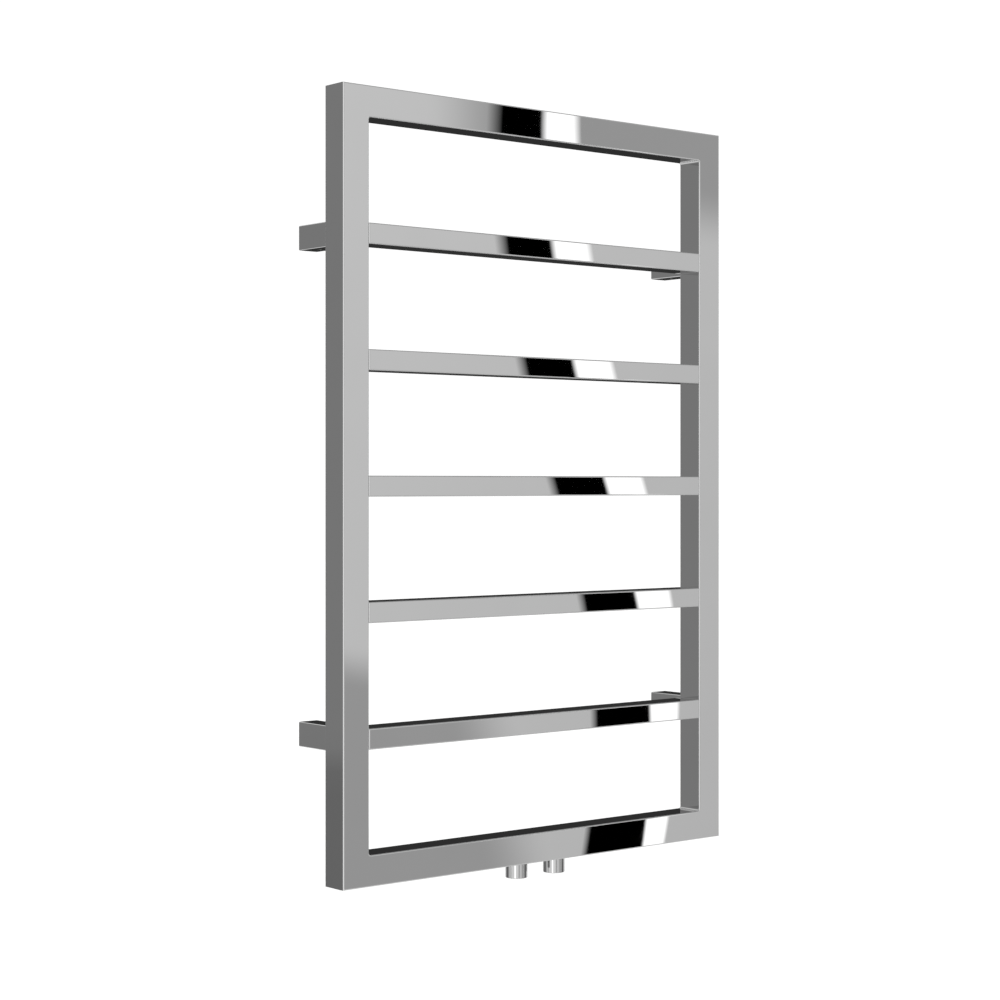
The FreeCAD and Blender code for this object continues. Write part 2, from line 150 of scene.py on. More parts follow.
def rounded_outline(size: Sequence[float], radius: float,
                    steps: int = 8) -> tuple[np.ndarray, np.ndarray]:
    """A rectangle with round corners, counted anticlockwise from the lower right corner.

    Each corner is an arc: centre + radius * (cos a, sin a) with a over a quarter turn, and the
    normal at each point is (cos a, sin a), so the flats between the arcs stay exactly flat.

    Args:
        size: full width and height.
        radius: corner radius.
        steps: facets in each corner.

    Returns:
        (n, 2) points and (n, 2) outward normals, closed by repeating the first.
    """
    quarters = np.arange(4)[:, None] * math.pi / 2 - math.pi / 2
    angles = (quarters + np.linspace(0, math.pi / 2, steps + 1)[None, :]).reshape(-1)
    signs = np.repeat(np.array([(1, -1), (1, 1), (-1, 1), (-1, -1)]), steps + 1, axis=0)
    centres = signs * (np.asarray(size) / 2 - radius)
    normals = rays(angles)
    outline = centres + radius * normals
    return np.vstack([outline, outline[:1]]), np.vstack([normals, normals[:1]])


def eased_bar(size: np.ndarray, axis: Axis, corner: float, ends: tuple[float, float],
              easing: tuple[float, float], stations: Sequence[float] = (),
              steps: int = 5) -> tuple[np.ndarray, np.ndarray]:
    """Rows of points along a bar whose ends may be eased by a quarter round.

    At angle a of the quarter round the section is drawn in by easing * (1 - sin a) and lies
    easing * (1 - cos a) inside the bar's end.

    Args:
        size: width and height of the bar's section.
        axis: the axis that the bar lies along.
        corner: rounding of the long edges.
        ends: places of the bar's two ends on its axis.
        easing: radius of the quarter round at each end, 0 for a sharp end.
        stations: places of further rows.
        steps: facets in each quarter round.

    Returns:
        (rows, n, 3) positions, centred on the axis, and their normals.
    """
    rows, row_normals = [], []
    quarter = np.linspace(0, math.pi / 2, steps + 1)
    for end, sign, radius in zip(ends, (-1, 1), easing):
        for station in stations if sign > 0 else ():
            flat, normals = rounded_outline(size, corner)
            rows.append(lift(flat, station, axis))
            row_normals.append(lift(normals, 0.0, axis))
        for angle in quarter[::-sign] if radius else quarter[-1:]:
            inset, back = radius * (1 - math.sin(angle)), radius * (1 - math.cos(angle))
            flat, normals = rounded_outline(size - 2 * inset, max(corner - inset, LEAST_ROUNDING))
            rows.append(lift(flat, end - sign * back, axis))
            row_normals.append(lift(normals * math.sin(angle), sign * math.cos(angle), axis))
    return np.stack(rows), np.stack(row_normals)


@dataclass
class Shell:
    """A closed surface gathered from patches, each with its own exact normals.

    Attributes:
        points: one (n, 3) array for each patch.
        normals: the surface normal at each of those points.
        faces: the corner numbers of every face, counted over all patches.
        paint: the material number of every face.
        coat: the material number that new patches get.
    """

    points: list[np.ndarray] = field(default_factory=list)
    normals: list[np.ndarray] = field(default_factory=list)
    faces: list[tuple[int, ...]] = field(default_factory=list)
    paint: list[int] = field(default_factory=list)
    coat: int = 0

    @property
    def count(self) -> int:
        """Number of points gathered so far."""
        return sum(len(patch) for patch in self.points)

    def add_grid(self, points: np.ndarray, normals: np.ndarray) -> None:
        """Add a patch given as a grid of points.

        The corner order of the quads is chosen by the normals, so a patch can't be inside out:
        the cross product of the quads' diagonals, summed over the patch, has to agree with them.

        Args:
            points: (rows, columns, 3) positions.
            normals: the same shape, the outward normals.
        """
        rows, columns = points.shape[:2]
        normals = np.broadcast_to(normals, points.shape)
        quads = grid_quads(rows, columns) + self.count
        along = points[1:, 1:] - points[:-1, :-1]
        across = points[:-1, 1:] - points[1:, :-1]
        facing = (np.cross(across, along) * normals[:-1, :-1]).sum()
        self.faces += [tuple(quad) for quad in (quads if facing > 0 else quads[:, ::-1]).tolist()]
        self.paint += [self.coat] * len(quads)
        self.points.append(points.reshape(-1, 3))
        self.normals.append(normals.reshape(-1, 3))

    def add_polygon(self, outline: np.ndarray, normal: Sequence[float]) -> None:
        """Add one flat face, turned by its signed area so that it faces the way that is asked.

        Args:
            outline: (n, 3) points around it, in order, without the first repeated.
            normal: the way the face looks.
        """
        spokes = outline - outline.mean(axis=0)
        around = np.cross(spokes, np.roll(spokes, -1, axis=0)).sum(axis=0)
        order = range(len(outline))[::1 if around @ np.asarray(normal) > 0 else -1]
        start = self.count
        self.faces.append(tuple(start + index for index in order))
        self.paint.append(self.coat)
        self.points.append(outline)
        self.normals.append(np.broadcast_to(np.asarray(normal, dtype=float), outline.shape))

    def add_plate(self, few: np.ndarray, many: np.ndarray, normal: Sequence[float]) -> None:
        """Fill the flat space between an outline of few corners and one of many points.

        For corner k the face has the corners k and k + 1 of the first outline and the points of
        the second that lie between them, so a round hole costs only as many faces as corners.

        Args:
            few: (k, 3) corners, in order.
            many: (n, 3) points, in the same order from the same angle, n a multiple of k.
            normal: the way the plate faces.
        """
        step = len(many) // len(few)
        for corner in range(len(few)):
            span = range((corner + 1) * step, corner * step - 1, -1)
            arc = [many[number % len(many)] for number in span]
            self.add_polygon(np.array([few[corner], few[(corner + 1) % len(few)], *arc]), normal)

    def add_turned(self, runs: Sequence[Sequence[tuple[float, float]]], centre: np.ndarray,
                   axis: Axis, steps: int = 64) -> None:
        """Add a surface of revolution, where (r, h) becomes (r cos a, r sin a, h) for a full turn.

        The profile is walked with the metal on its left, so the normal of a piece (dr, dh) is
        (dh, -dr). It is smooth along one run and has a sharp corner between two runs.

        Args:
            runs: runs of (radius, height) points.
            centre: a point on the axis, at height 0.
            axis: the axis of revolution.
            steps: facets round it.
        """
        ring = rays(np.linspace(0, 2 * math.pi, steps + 1))
        for run in runs:
            profile = np.array(run, dtype=float)
            slope = np.gradient(profile, axis=0)
            slope /= np.linalg.norm(slope, axis=1)[:, None]
            points = lift(profile[:, None, :1] * ring, profile[:, None, 1], axis) + centre
            normals = lift(slope[:, None, 1:] * ring, -slope[:, None, 0], axis)
            self.add_grid(points, normals)

    def build(self, name: str) -> bpy.types.Object:
        """Make the mesh object: points closer than a micron are joined and faces are smooth.

        Args:
            name: the object's name.

        Returns:
            The new object, at the origin and unturned.
        """
        points, normals = np.concatenate(self.points), np.concatenate(self.normals)
        _, first, joined = np.unique(np.round(points / MICRON), axis=0, return_index=True,
                                     return_inverse=True)
        joined = joined.reshape(-1)
        kept, corner_normals, paint = [], [], []
        for face, coat in zip(self.faces, self.paint):
            numbers = [int(joined[point]) for point in face]
            before = numbers[-1:] + numbers
            clean = [(number, point) for number, point, last in zip(numbers, face, before)
                     if number != last]
            if len(clean) > 2:
                kept.append([number for number, _ in clean])
                corner_normals += [normals[point] for _, point in clean]
                paint.append(coat)
        mesh = bpy.data.meshes.new(name)
        mesh.from_pydata(points[first].tolist(), [], kept)
        mesh.polygons.foreach_set("use_smooth", np.ones(len(kept), dtype=bool))
        mesh.polygons.foreach_set("material_index", np.array(paint, dtype=np.int32))
        mesh.normals_split_custom_set(corner_normals)
        piece = bpy.data.objects.new(name, mesh)
        bpy.context.scene.collection.objects.link(piece)
        return piece


def arc_run(centre: tuple[float, float], radius: float, start: float, end: float,
            steps: int = 6) -> list[tuple[float, float]]:
    """A rounded edge for a turned profile: centre + radius * (cos a, sin a), angles in degrees.

    Args:
        centre: the arc's own centre as (radius, height).
        radius: radius of the rounding.
        start: first angle.
        end: last angle.
        steps: facets along it.

    Returns:
        The run's points.
    """
    turn = np.radians(np.linspace(start, end, steps + 1))
    return [(centre[0] + radius * math.cos(a), centre[1] + radius * math.sin(a)) for a in turn]


# ---------------------------------------------------------------- finishes


def linear_colour(hex_code: str) -> tuple[float, float, float, float]:
    """Turn an sRGB hex code into linear light.

    Each channel c becomes c / 12.92 up to 0.04045, and ((c + 0.055) / 1.055) ** 2.4 above it.

    Args:
        hex_code: such as "#C4C5C5".

    Returns:
        Red, green, blue and an alpha of 1.
    """
    channels = [int(hex_code[start:start + 2], 16) / 255 for start in (1, 3, 5)]
    red, green, blue = [c / 12.92 if c <= 0.04045 else ((c + 0.055) / 1.055) ** 2.4
                        for c in channels]
    return red, green, blue, 1.0


def add_node(tree: bpy.types.NodeTree, kind: str, settings: dict | None = None,
             **inputs: object) -> bpy.types.Node:
    """Add a node, set its properties and fill or link its inputs.

    Args:
        tree: the node tree.
        kind: the node's type name.
        settings: properties of the node itself.
        **inputs: values by socket name, or by number after an underscore. An output socket is
            linked.

    Returns:
        The new node.
    """
    node = tree.nodes.new(kind)
    for name, value in (settings or {}).items():
        setattr(node, name, value)
    for name, value in inputs.items():
        socket = node.inputs[int(name[1:]) if name[1:].isdigit() else name.replace("_", " ")]
        if isinstance(value, bpy.types.NodeSocket):
            tree.links.new(value, socket)
        else:
            socket.default_value = value
    return node


def mix_colours(tree: bpy.types.NodeTree, share: bpy.types.NodeSocket, first: str,
                second: str) -> bpy.types.NodeSocket:
    """Blend two sRGB hex colours by a share from 0 to 1.

    Args:
        tree: the node tree.
        share: the share of the second colour.
        first: the colour at 0.
        second: the colour at 1.

    Returns:
        The blended colour's socket.
    """
    blend = add_node(tree, "ShaderNodeMix", {"data_type": "RGBA"}, _0=share,
                     _6=linear_colour(first), _7=linear_colour(second))
    return blend.outputs[2]


def blank_material(name: str, **inputs: float) -> tuple[bpy.types.Material, bpy.types.NodeSocket]:
    """Start a material on the standard surface shader.

    Args:
        name: the finish's own name.
        **inputs: plain values for the shader, by socket name.

    Returns:
        The material and its Object coordinates, which the textures are placed in.
    """
    made = bpy.data.materials.new(name)
    made.use_nodes = True
    for socket, value in inputs.items():
        made.node_tree.nodes["Principled BSDF"].inputs[socket].default_value = value
    return made, add_node(made.node_tree, "ShaderNodeTexCoord").outputs["Object"]


def link_surface(material: bpy.types.Material, **outputs: bpy.types.NodeSocket) -> None:
    """Link texture outputs to the sockets of a material's surface shader.

    Args:
        material: a material from blank_material.
        **outputs: an output for each socket name, with underscores for spaces.
    """
    shader = material.node_tree.nodes["Principled BSDF"]
    for socket, output in outputs.items():
        material.node_tree.links.new(output, shader.inputs[socket.replace("_", " ")])


class Marks(Enum):
    """How a surface was worked, which sets the way its fine marks run."""

    DRAWN = "straight lines along an axis"
    TURNED = "rings around an axis"
    CAST = "no direction"


@dataclass(frozen=True)
class MetalFinish:
    """A bare or plated metal with the fine marks of how its surface was made.

    Attributes:
        name: the finish's own name.
        colour: sRGB reflectance at normal incidence.
        stain: a second sRGB colour that comes and goes in patches.
        roughness: lowest and highest roughness over the surface.
        marks: the kind of marks.
        axis: the axis that they run along or around.
        spacing: distance between neighbouring marks, in mm.
        depth: height of the marks, in mm.
        stain_size: width of the patches and of the surface's slow unevenness, in mm.
        ripple: height of that unevenness, in mm.
        centre: a point on the axis of turned marks, in metres.
        drawn_out: how many times as long as wide a drawn mark is.
    """

    name: str
    colour: str
    stain: str
    roughness: tuple[float, float]
    marks: Marks
    axis: Axis
    spacing: float
    depth: float
    stain_size: float = 12.0
    ripple: float = 0.0
    centre: tuple[float, float, float] = (0.0, 0.0, 0.0)
    drawn_out: float = 40.0

    def mark_space(self, tree: bpy.types.NodeTree,
                   place: bpy.types.NodeSocket) -> bpy.types.NodeSocket:
        """Coordinates in which plain noise comes out as this finish's marks, one mark to a unit.

        Drawn marks are many times as long as they are wide. Turned marks depend only on the
        distance from the axis and on the height along it, so they run round as rings.

        Args:
            tree: the node tree.
            place: the Object coordinates.

        Returns:
            The coordinates' socket.
        """
        pitch = 1 / (self.spacing * MM)
        if self.marks is not Marks.TURNED:
            scale = [pitch] * 3
            if self.marks is Marks.DRAWN:
                scale[self.axis.value] = pitch / self.drawn_out
            return add_node(tree, "ShaderNodeMapping", Vector=place, Scale=scale).outputs["Vector"]
        shift = [-value * pitch for value in self.centre]
        centred = add_node(tree, "ShaderNodeMapping", Vector=place, Location=shift,
                           Scale=[pitch] * 3)
        flat = [1.0] * 3
        flat[self.axis.value] = 0.0
        radial = add_node(tree, "ShaderNodeVectorMath", {"operation": "MULTIPLY"},
                          _0=centred.outputs["Vector"], _1=flat)
        reach = add_node(tree, "ShaderNodeVectorMath", {"operation": "LENGTH"},
                         _0=radial.outputs["Vector"])
        split = add_node(tree, "ShaderNodeSeparateXYZ", Vector=centred.outputs["Vector"])
        rings = add_node(tree, "ShaderNodeCombineXYZ", X=reach.outputs["Value"],
                         Y=split.outputs[self.axis.value])
        return rings.outputs["Vector"]

    def material(self) -> bpy.types.Material:
        """Build the shader: a metal whose roughness, tint and height follow the marks.

        Returns:
            The material.
        """
        made, place = blank_material(self.name, Metallic=1.0)
        tree = made.node_tree
        marks = add_node(tree, "ShaderNodeTexNoise", Vector=self.mark_space(tree, place), Scale=1.0,
                         Detail=3.0).outputs["Fac"]
        patches = add_node(tree, "ShaderNodeTexNoise", Vector=place,
                           Scale=1 / (self.stain_size * MM), Detail=1.0).outputs["Fac"]
        (low, high), (least, most) = self.roughness, NOISE_RANGE
        gloss = add_node(tree, "ShaderNodeMapRange", Value=marks, From_Min=least, From_Max=most,
                         To_Min=low, To_Max=high)
        relief = add_node(tree, "ShaderNodeBump", Height=marks, Strength=1.0,
                          Distance=self.depth * MM)
        if self.ripple:
            relief = add_node(tree, "ShaderNodeBump", Height=patches, Strength=1.0,
                              Distance=self.ripple * MM, Normal=relief.outputs["Normal"])
        link_surface(made, Base_Color=mix_colours(tree, patches, self.colour, self.stain),
                     Roughness=gloss.outputs["Result"], Normal=relief.outputs["Normal"])
        return made


@dataclass(frozen=True)
class RubberFinish:
    """Moulded nitrile rubber: matt black with a fine grain and a dusty bloom.

    Attributes:
        name: the finish's own name.
        colour: sRGB colour of the clean rubber.
        bloom: sRGB colour of the dull film that old seals carry.
        bloom_size: width of the film's patches, in mm.
        roughness: roughness of the clean rubber and of the film.
        grain: size of the mould's grain, in mm.
        grain_depth: height of that grain, in mm.
        bending: the rubber's index of refraction.
    """

    name: str = "moulded nitrile rubber"
    colour: str = "#1B1B1C"
    bloom: str = "#2E2D2B"
    bloom_size: float = 2.5
    roughness: tuple[float, float] = (0.5, 0.75)
    grain: float = 0.15
    grain_depth: float = 0.02
    bending: float = 1.52

    def material(self) -> bpy.types.Material:
        """Build the shader.

        Returns:
            The material.
        """
        made, place = blank_material(self.name, IOR=self.bending)
        tree = made.node_tree
        grain, film = (add_node(tree, "ShaderNodeTexNoise", Vector=place, Scale=1 / (size * MM),
                                Detail=2.0).outputs["Fac"]
                       for size in (self.grain, self.bloom_size))
        gloss = add_node(tree, "ShaderNodeMapRange", Value=film, To_Min=self.roughness[0],
                         To_Max=self.roughness[1])
        relief = add_node(tree, "ShaderNodeBump", Height=grain, Distance=self.grain_depth * MM)
        link_surface(made, Base_Color=mix_colours(tree, film, self.colour, self.bloom),
                     Roughness=gloss.outputs["Result"], Normal=relief.outputs["Normal"])
        return made


def buffed_chrome(axis: Axis) -> MetalFinish:
    """Bright chrome over nickel on mild steel tube, ground and buffed along its length.

    The eye gets a sharp mirror, with hairlines of buffing that show only up close and a slow
    waviness of half a thousandth of a millimetre that bends reflected edges a little.
    """
    return MetalFinish(f"bright chrome plate buffed along {axis.name}", "#C6C6C6", "#C3C3C3",
                       (0.006, 0.016), Marks.DRAWN, axis, spacing=0.8, depth=0.00004,
                       stain_size=55.0, ripple=0.0005)


def turned_chrome(centre: Sequence[float], axis: Axis, place: str) -> MetalFinish:
    """Bright chrome on turned steel: a mirror crossed by faint rings left by the lathe."""
    return MetalFinish(f"bright chrome plate on turned steel {place}", "#C5C5C5", "#C1C1C1",
                       (0.02, 0.05), Marks.TURNED, axis, spacing=0.35, depth=0.0002,
                       centre=tuple(centre))


def turned_metal(name: str, colour: str, stain: str, centre: Sequence[float],
                 axis: Axis) -> MetalFinish:
    """A small turned part: satin, with rings from the lathe a third of a millimetre apart."""
    return MetalFinish(name, colour, stain, (0.16, 0.3), Marks.TURNED, axis, spacing=0.3,
                       depth=0.0015, stain_size=4.0, centre=tuple(centre))


# Zinc plate over drawn steel bar: a pale blue-grey satin with a faint yellowish film in patches.
ZINC = MetalFinish("bright zinc plate on drawn steel", "#BCC2C7", "#C9C6BA", (0.2, 0.34),
                   Marks.DRAWN, Axis.Y, spacing=0.4, depth=0.0015, stain_size=7.0, ripple=0.004)
# Bare mild steel inside the tubes: dark grey and dull, with a brownish bloom from the water.
BARE_STEEL = MetalFinish("bare mild steel with water bloom", "#7A7876", "#6B5F55", (0.35, 0.55),
                         Marks.CAST, Axis.X, spacing=0.9, depth=0.01, stain_size=6.0)
# Rolled A2 stainless: a warm grey satin without direction.
STAINLESS = MetalFinish("rolled stainless steel", "#B6B3AE", "#A8A5A0", (0.2, 0.32), Marks.CAST,
                        Axis.Y, spacing=0.6, depth=0.002, stain_size=5.0)


@dataclass(frozen=True)
class Home:
    """Where a piece belongs in the CAD model.

    Attributes:
        body: the moving body that it rides on.
        node: the CAD node that it stands for.
        slot: the record's material slot; not used here.
    """

    body: str
    node: str
    slot: str


def place_piece(shell: Shell, name: str, home: Home,
                *materials: bpy.types.Material) -> bpy.types.Object:
    """Build a shell, dress it and tie it to its place in the CAD model.

    Args:
        shell: the finished surface.
        name: the piece's name.
        home: its body, node and slot.
        *materials: its materials, in the order of the shell's coats.

    Returns:
        The piece.
    """
    piece = shell.build(name)
    for material in materials:
        piece.data.materials.append(material)
    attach(piece, home.body)
    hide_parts(home.node)
    log.info("%s: %d faces, stands for %s", name, len(piece.data.polygons), home.node)
    return piece


def box_of(node: str) -> tuple[np.ndarray, np.ndarray]:
    """Middle and size of a CAD node's box."""
    low, high = (np.array(corner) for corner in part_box(node))
    return (low + high) / 2, high - low


# ---------------------------------------------------------------- the welded rack


@dataclass
class Rack:
    """The welded frame: two uprights, a top and a bottom tube and the rungs between them.

    Attributes:
        edge: rounding of the tubes' long edges.
        weld: radius of the dressed weld in each corner of the window.
        wall: thickness of the tube wall.
        bay: half the length of the patch of underside that each socket's hole is cut in.
        rungs: number of rungs.
        chrome: one buffed finish for the tubes along X and one for those along Z.
        bare: the steel inside the tubes.
    """

    edge: float = 1.2 * MM
    weld: float = 2.5 * MM
    wall: float = 1.5 * MM
    bay: float = 12.5 * MM
    rungs: int = 5
    chrome: dict[Axis, bpy.types.Material] = field(default_factory=dict)
    bare: bpy.types.Material | None = None

    def build(self) -> None:
        """Build and dress every tube of the frame."""
        self.chrome = {axis: buffed_chrome(axis).material() for axis in (Axis.X, Axis.Z)}
        self.bare = BARE_STEEL.material()
        for node, axis, centre_side in [("left_upright", Axis.Z, 1), ("right_upright", Axis.Z, -1),
                                        ("top_tube", Axis.X, -1)]:
            place_piece(self.mitred_tube(node, axis, centre_side), f"{node}_skin",
                        Home("rack", node, "chrome_tube"), self.chrome[axis])
        place_piece(self.bottom_tube(), "bottom_tube_skin",
                    Home("rack", "bottom_tube", "chrome_tube"), self.chrome[Axis.X], self.bare)
        for number in range(1, self.rungs + 1):
            place_piece(self.rung(f"rung_{number}"), f"rung_{number}_skin",
                        Home("rack", f"rung_{number}", "chrome_tube"), self.chrome[Axis.X])

    def tube_rows(self, node: str, axis: Axis, centre_side: int,
                  stations: Sequence[float] = ()) -> tuple[np.ndarray, np.ndarray]:
        """Rows of points along one side of the outer frame, its ends cut on the corners' diagonals.

        The tube is its rounded section carried along its axis. A point of the section that lies a
        distance d inside the outer face ends at half the length - d, so four tubes close the frame.

        Args:
            node: the CAD node it stands for.
            axis: the tube's own axis, X or Z.
            centre_side: 1 if the window is on the positive side, -1 if on the negative side.
            stations: places of further rows along the axis, from the middle.

        Returns:
            (rows, n, 3) positions and their normals.
        """
        middle, size = box_of(node)
        flat, normals = rounded_outline(section_size(size, axis), self.edge)
        inward = flat[:, 0] if axis is Axis.Z else flat[:, 1]
        width = size[0] if axis is Axis.Z else size[2]
        reach = size[axis.value] / 2 - (width / 2 + inward * centre_side)
        rows = [-reach, *(np.full_like(reach, station) for station in stations), reach]
        points = np.stack([lift(flat, row, axis) for row in rows]) + middle
        return points, np.stack([lift(normals, 0.0, axis)] * len(rows))

    def mitred_tube(self, node: str, axis: Axis, centre_side: int) -> Shell:
        """One side of the outer frame, closed at its mitres.

        Args:
            node: the CAD node it stands for.
            axis: the tube's own axis.
            centre_side: the side of the frame's window.

        Returns:
            The surface.
        """
        points, normals = self.tube_rows(node, axis, centre_side)
        shell = Shell()
        shell.add_grid(points, normals)
        for row, sign in ((points[0], -1.0), (points[-1], 1.0)):
            shell.add_polygon(row[:-1], lift(np.zeros(2), sign, axis))
        if axis is Axis.X:
            self.add_corner_welds(shell, node, 1)
        return shell

    def add_corner_welds(self, shell: Shell, node: str, up: int) -> None:
        """Add the dressed welds in the two corners of the window at a cross tube's ends.

        A weld is a hollow quarter round that carries the tubes' own edge profile: where the profile
        lies d inside the window's face, its radius is weld + d about a centre that lies weld inside
        the window from both faces. A small web fills the flat corner left in front and behind.

        Args:
            shell: the tube's surface so far.
            node: the CAD node of the top or the bottom tube.
            up: 1 for the top tube, -1 for the bottom tube.
        """
        middle, size = box_of(node)
        reach = size[0] / 2 - box_of("left_upright")[1][0] - self.weld
        level = middle[2] - up * (size[2] / 2 + self.weld)
        turn, quarter = np.linspace(0, math.pi / 2, 11)[:, None], np.linspace(0, math.pi / 2, 7)
        slope = np.concatenate([quarter, math.pi - quarter[::-1]])
        set_back = self.edge * (1 - np.cos(quarter))
        depth = np.concatenate([set_back, size[1] - set_back[::-1]])
        radius = self.weld + self.edge * (1 - np.sin(slope))
        for side in (-1, 1):
            centre = middle + np.array([side * reach, -size[1] / 2, level - middle[2]])
            ray = np.stack([side * np.cos(turn), 0 * turn, up * np.sin(turn)], axis=-1)
            points = centre + radius[:, None] * ray + depth[:, None] * TO_WALL
            shell.add_grid(points, -np.sin(slope)[:, None] * ray - np.cos(slope)[:, None] * TO_WALL)
            corner = centre + radius[0] * np.array([side, 0.0, up])
            for arc, facing in ((points[:, 0], -1.0), (points[:, -1], 1.0)):
                tip = np.where([True, False, True], corner, arc)
                shell.add_grid(np.stack([tip, arc]), facing * TO_WALL)

    def bottom_tube(self) -> Shell:
        """The bottom tube, with the two round holes for the sockets and its hollow inside.

        The skin is the same swept section as the other sides. In two bays its flat underside is
        left out and filled by a plate with a round hole. Inside is a plain square hollow, whose
        floor has the same two holes.

        Returns:
            The surface, the hollow in the second coat.
        """
        middle, size = box_of("bottom_tube")
        centres = [box_of(socket)[0][0] for socket in ("flow_socket", "return_socket")]
        radius = box_of("flow_socket")[1][0] / 2
        cuts = sorted(centre + side * self.bay for centre in centres for side in (-1, 1))
        points, normals = self.tube_rows("bottom_tube", Axis.X, 1, cuts)
        shell = Shell()
        # The flat underside runs between the end of the fourth corner's arc and the first point.
        shell.add_grid(points[:, :-1], normals[:, :-1])
        low, high = points[:, -2], points[:, -1]
        inner = size[1] / 2 - self.wall
        cavity_low, cavity_top = low[0, 2] + self.wall, middle[2] + size[2] / 2 - self.wall
        cavity_end = size[0] / 2 - 2 * size[1]
        edges = np.array([-cavity_end, *cuts, cavity_end])
        walls = middle[1] + np.array([-inner, inner])
        for bay in range(len(cuts) + 1):
            corners = np.array([high[bay + 1], high[bay], low[bay], low[bay + 1]])
            floor = np.array([(edges[bay + ahead], walls[wall], cavity_low)
                              for ahead, wall in ((1, 1), (0, 1), (0, 0), (1, 0))])
            if bay % 2 == 0:
                shell.add_polygon(corners, DOWN)
                shell.coat = 1
                shell.add_polygon(floor, UP)
                shell.coat = 0
                continue
            centre = np.array([(edges[bay] + edges[bay + 1]) / 2, middle[1]])
            hole = centre + circle(radius, 48, math.pi / 4)
            shell.add_plate(corners, lift(hole, low[0, 2], Axis.Z), DOWN)
            shell.coat = 1
            shell.add_plate(floor, lift(hole, cavity_low, Axis.Z), UP)
            shell.add_turned([[(radius, self.wall), (radius, 0.0)]],
                             np.array([*centre, low[0, 2]]), Axis.Z, 48)
            shell.coat = 0
        for row, sign in ((points[0], -1.0), (points[-1], 1.0)):
            shell.add_polygon(row[:-1], (sign, 0.0, 0.0))
        self.add_corner_welds(shell, "bottom_tube", -1)
        shell.coat = 1
        for wall, facing in ((walls[0], 1.0), (walls[1], -1.0)):
            panel = [[(edge, wall, height) for edge in edges]
                     for height in (cavity_low, cavity_top)]
            shell.add_grid(np.array(panel), facing * TO_WALL)
        roof = [[(edge, wall, cavity_top) for edge in edges] for wall in walls]
        shell.add_grid(np.array(roof), DOWN)
        for edge, facing in ((edges[0], 1.0), (edges[-1], -1.0)):
            corners = ((walls[0], cavity_low), (walls[1], cavity_low),
                       (walls[1], cavity_top), (walls[0], cavity_top))
            shell.add_polygon(np.array([(edge, *corner) for corner in corners]), (facing, 0.0, 0.0))
        return shell

    def rung(self, node: str) -> Shell:
        """A rung: its rounded section carried from one upright to the other, with rounded ends.

        Each end is eased by the same radius as the long edges, which leaves the fine groove of a
        dressed weld at the upright.

        Args:
            node: the CAD node it stands for.

        Returns:
            The surface.
        """
        middle, size = box_of(node)
        points, normals = eased_bar(section_size(size, Axis.X), Axis.X, self.edge,
                                    (-size[0] / 2, size[0] / 2), (self.edge, self.edge), steps=8)
        points = points + middle
        shell = Shell()
        shell.add_grid(points, normals)
        for row, sign in ((points[0], -1.0), (points[-1], 1.0)):
            shell.add_polygon(row[:-1], (sign, 0.0, 0.0))
        return shell


# ---------------------------------------------------------------- pipe sockets


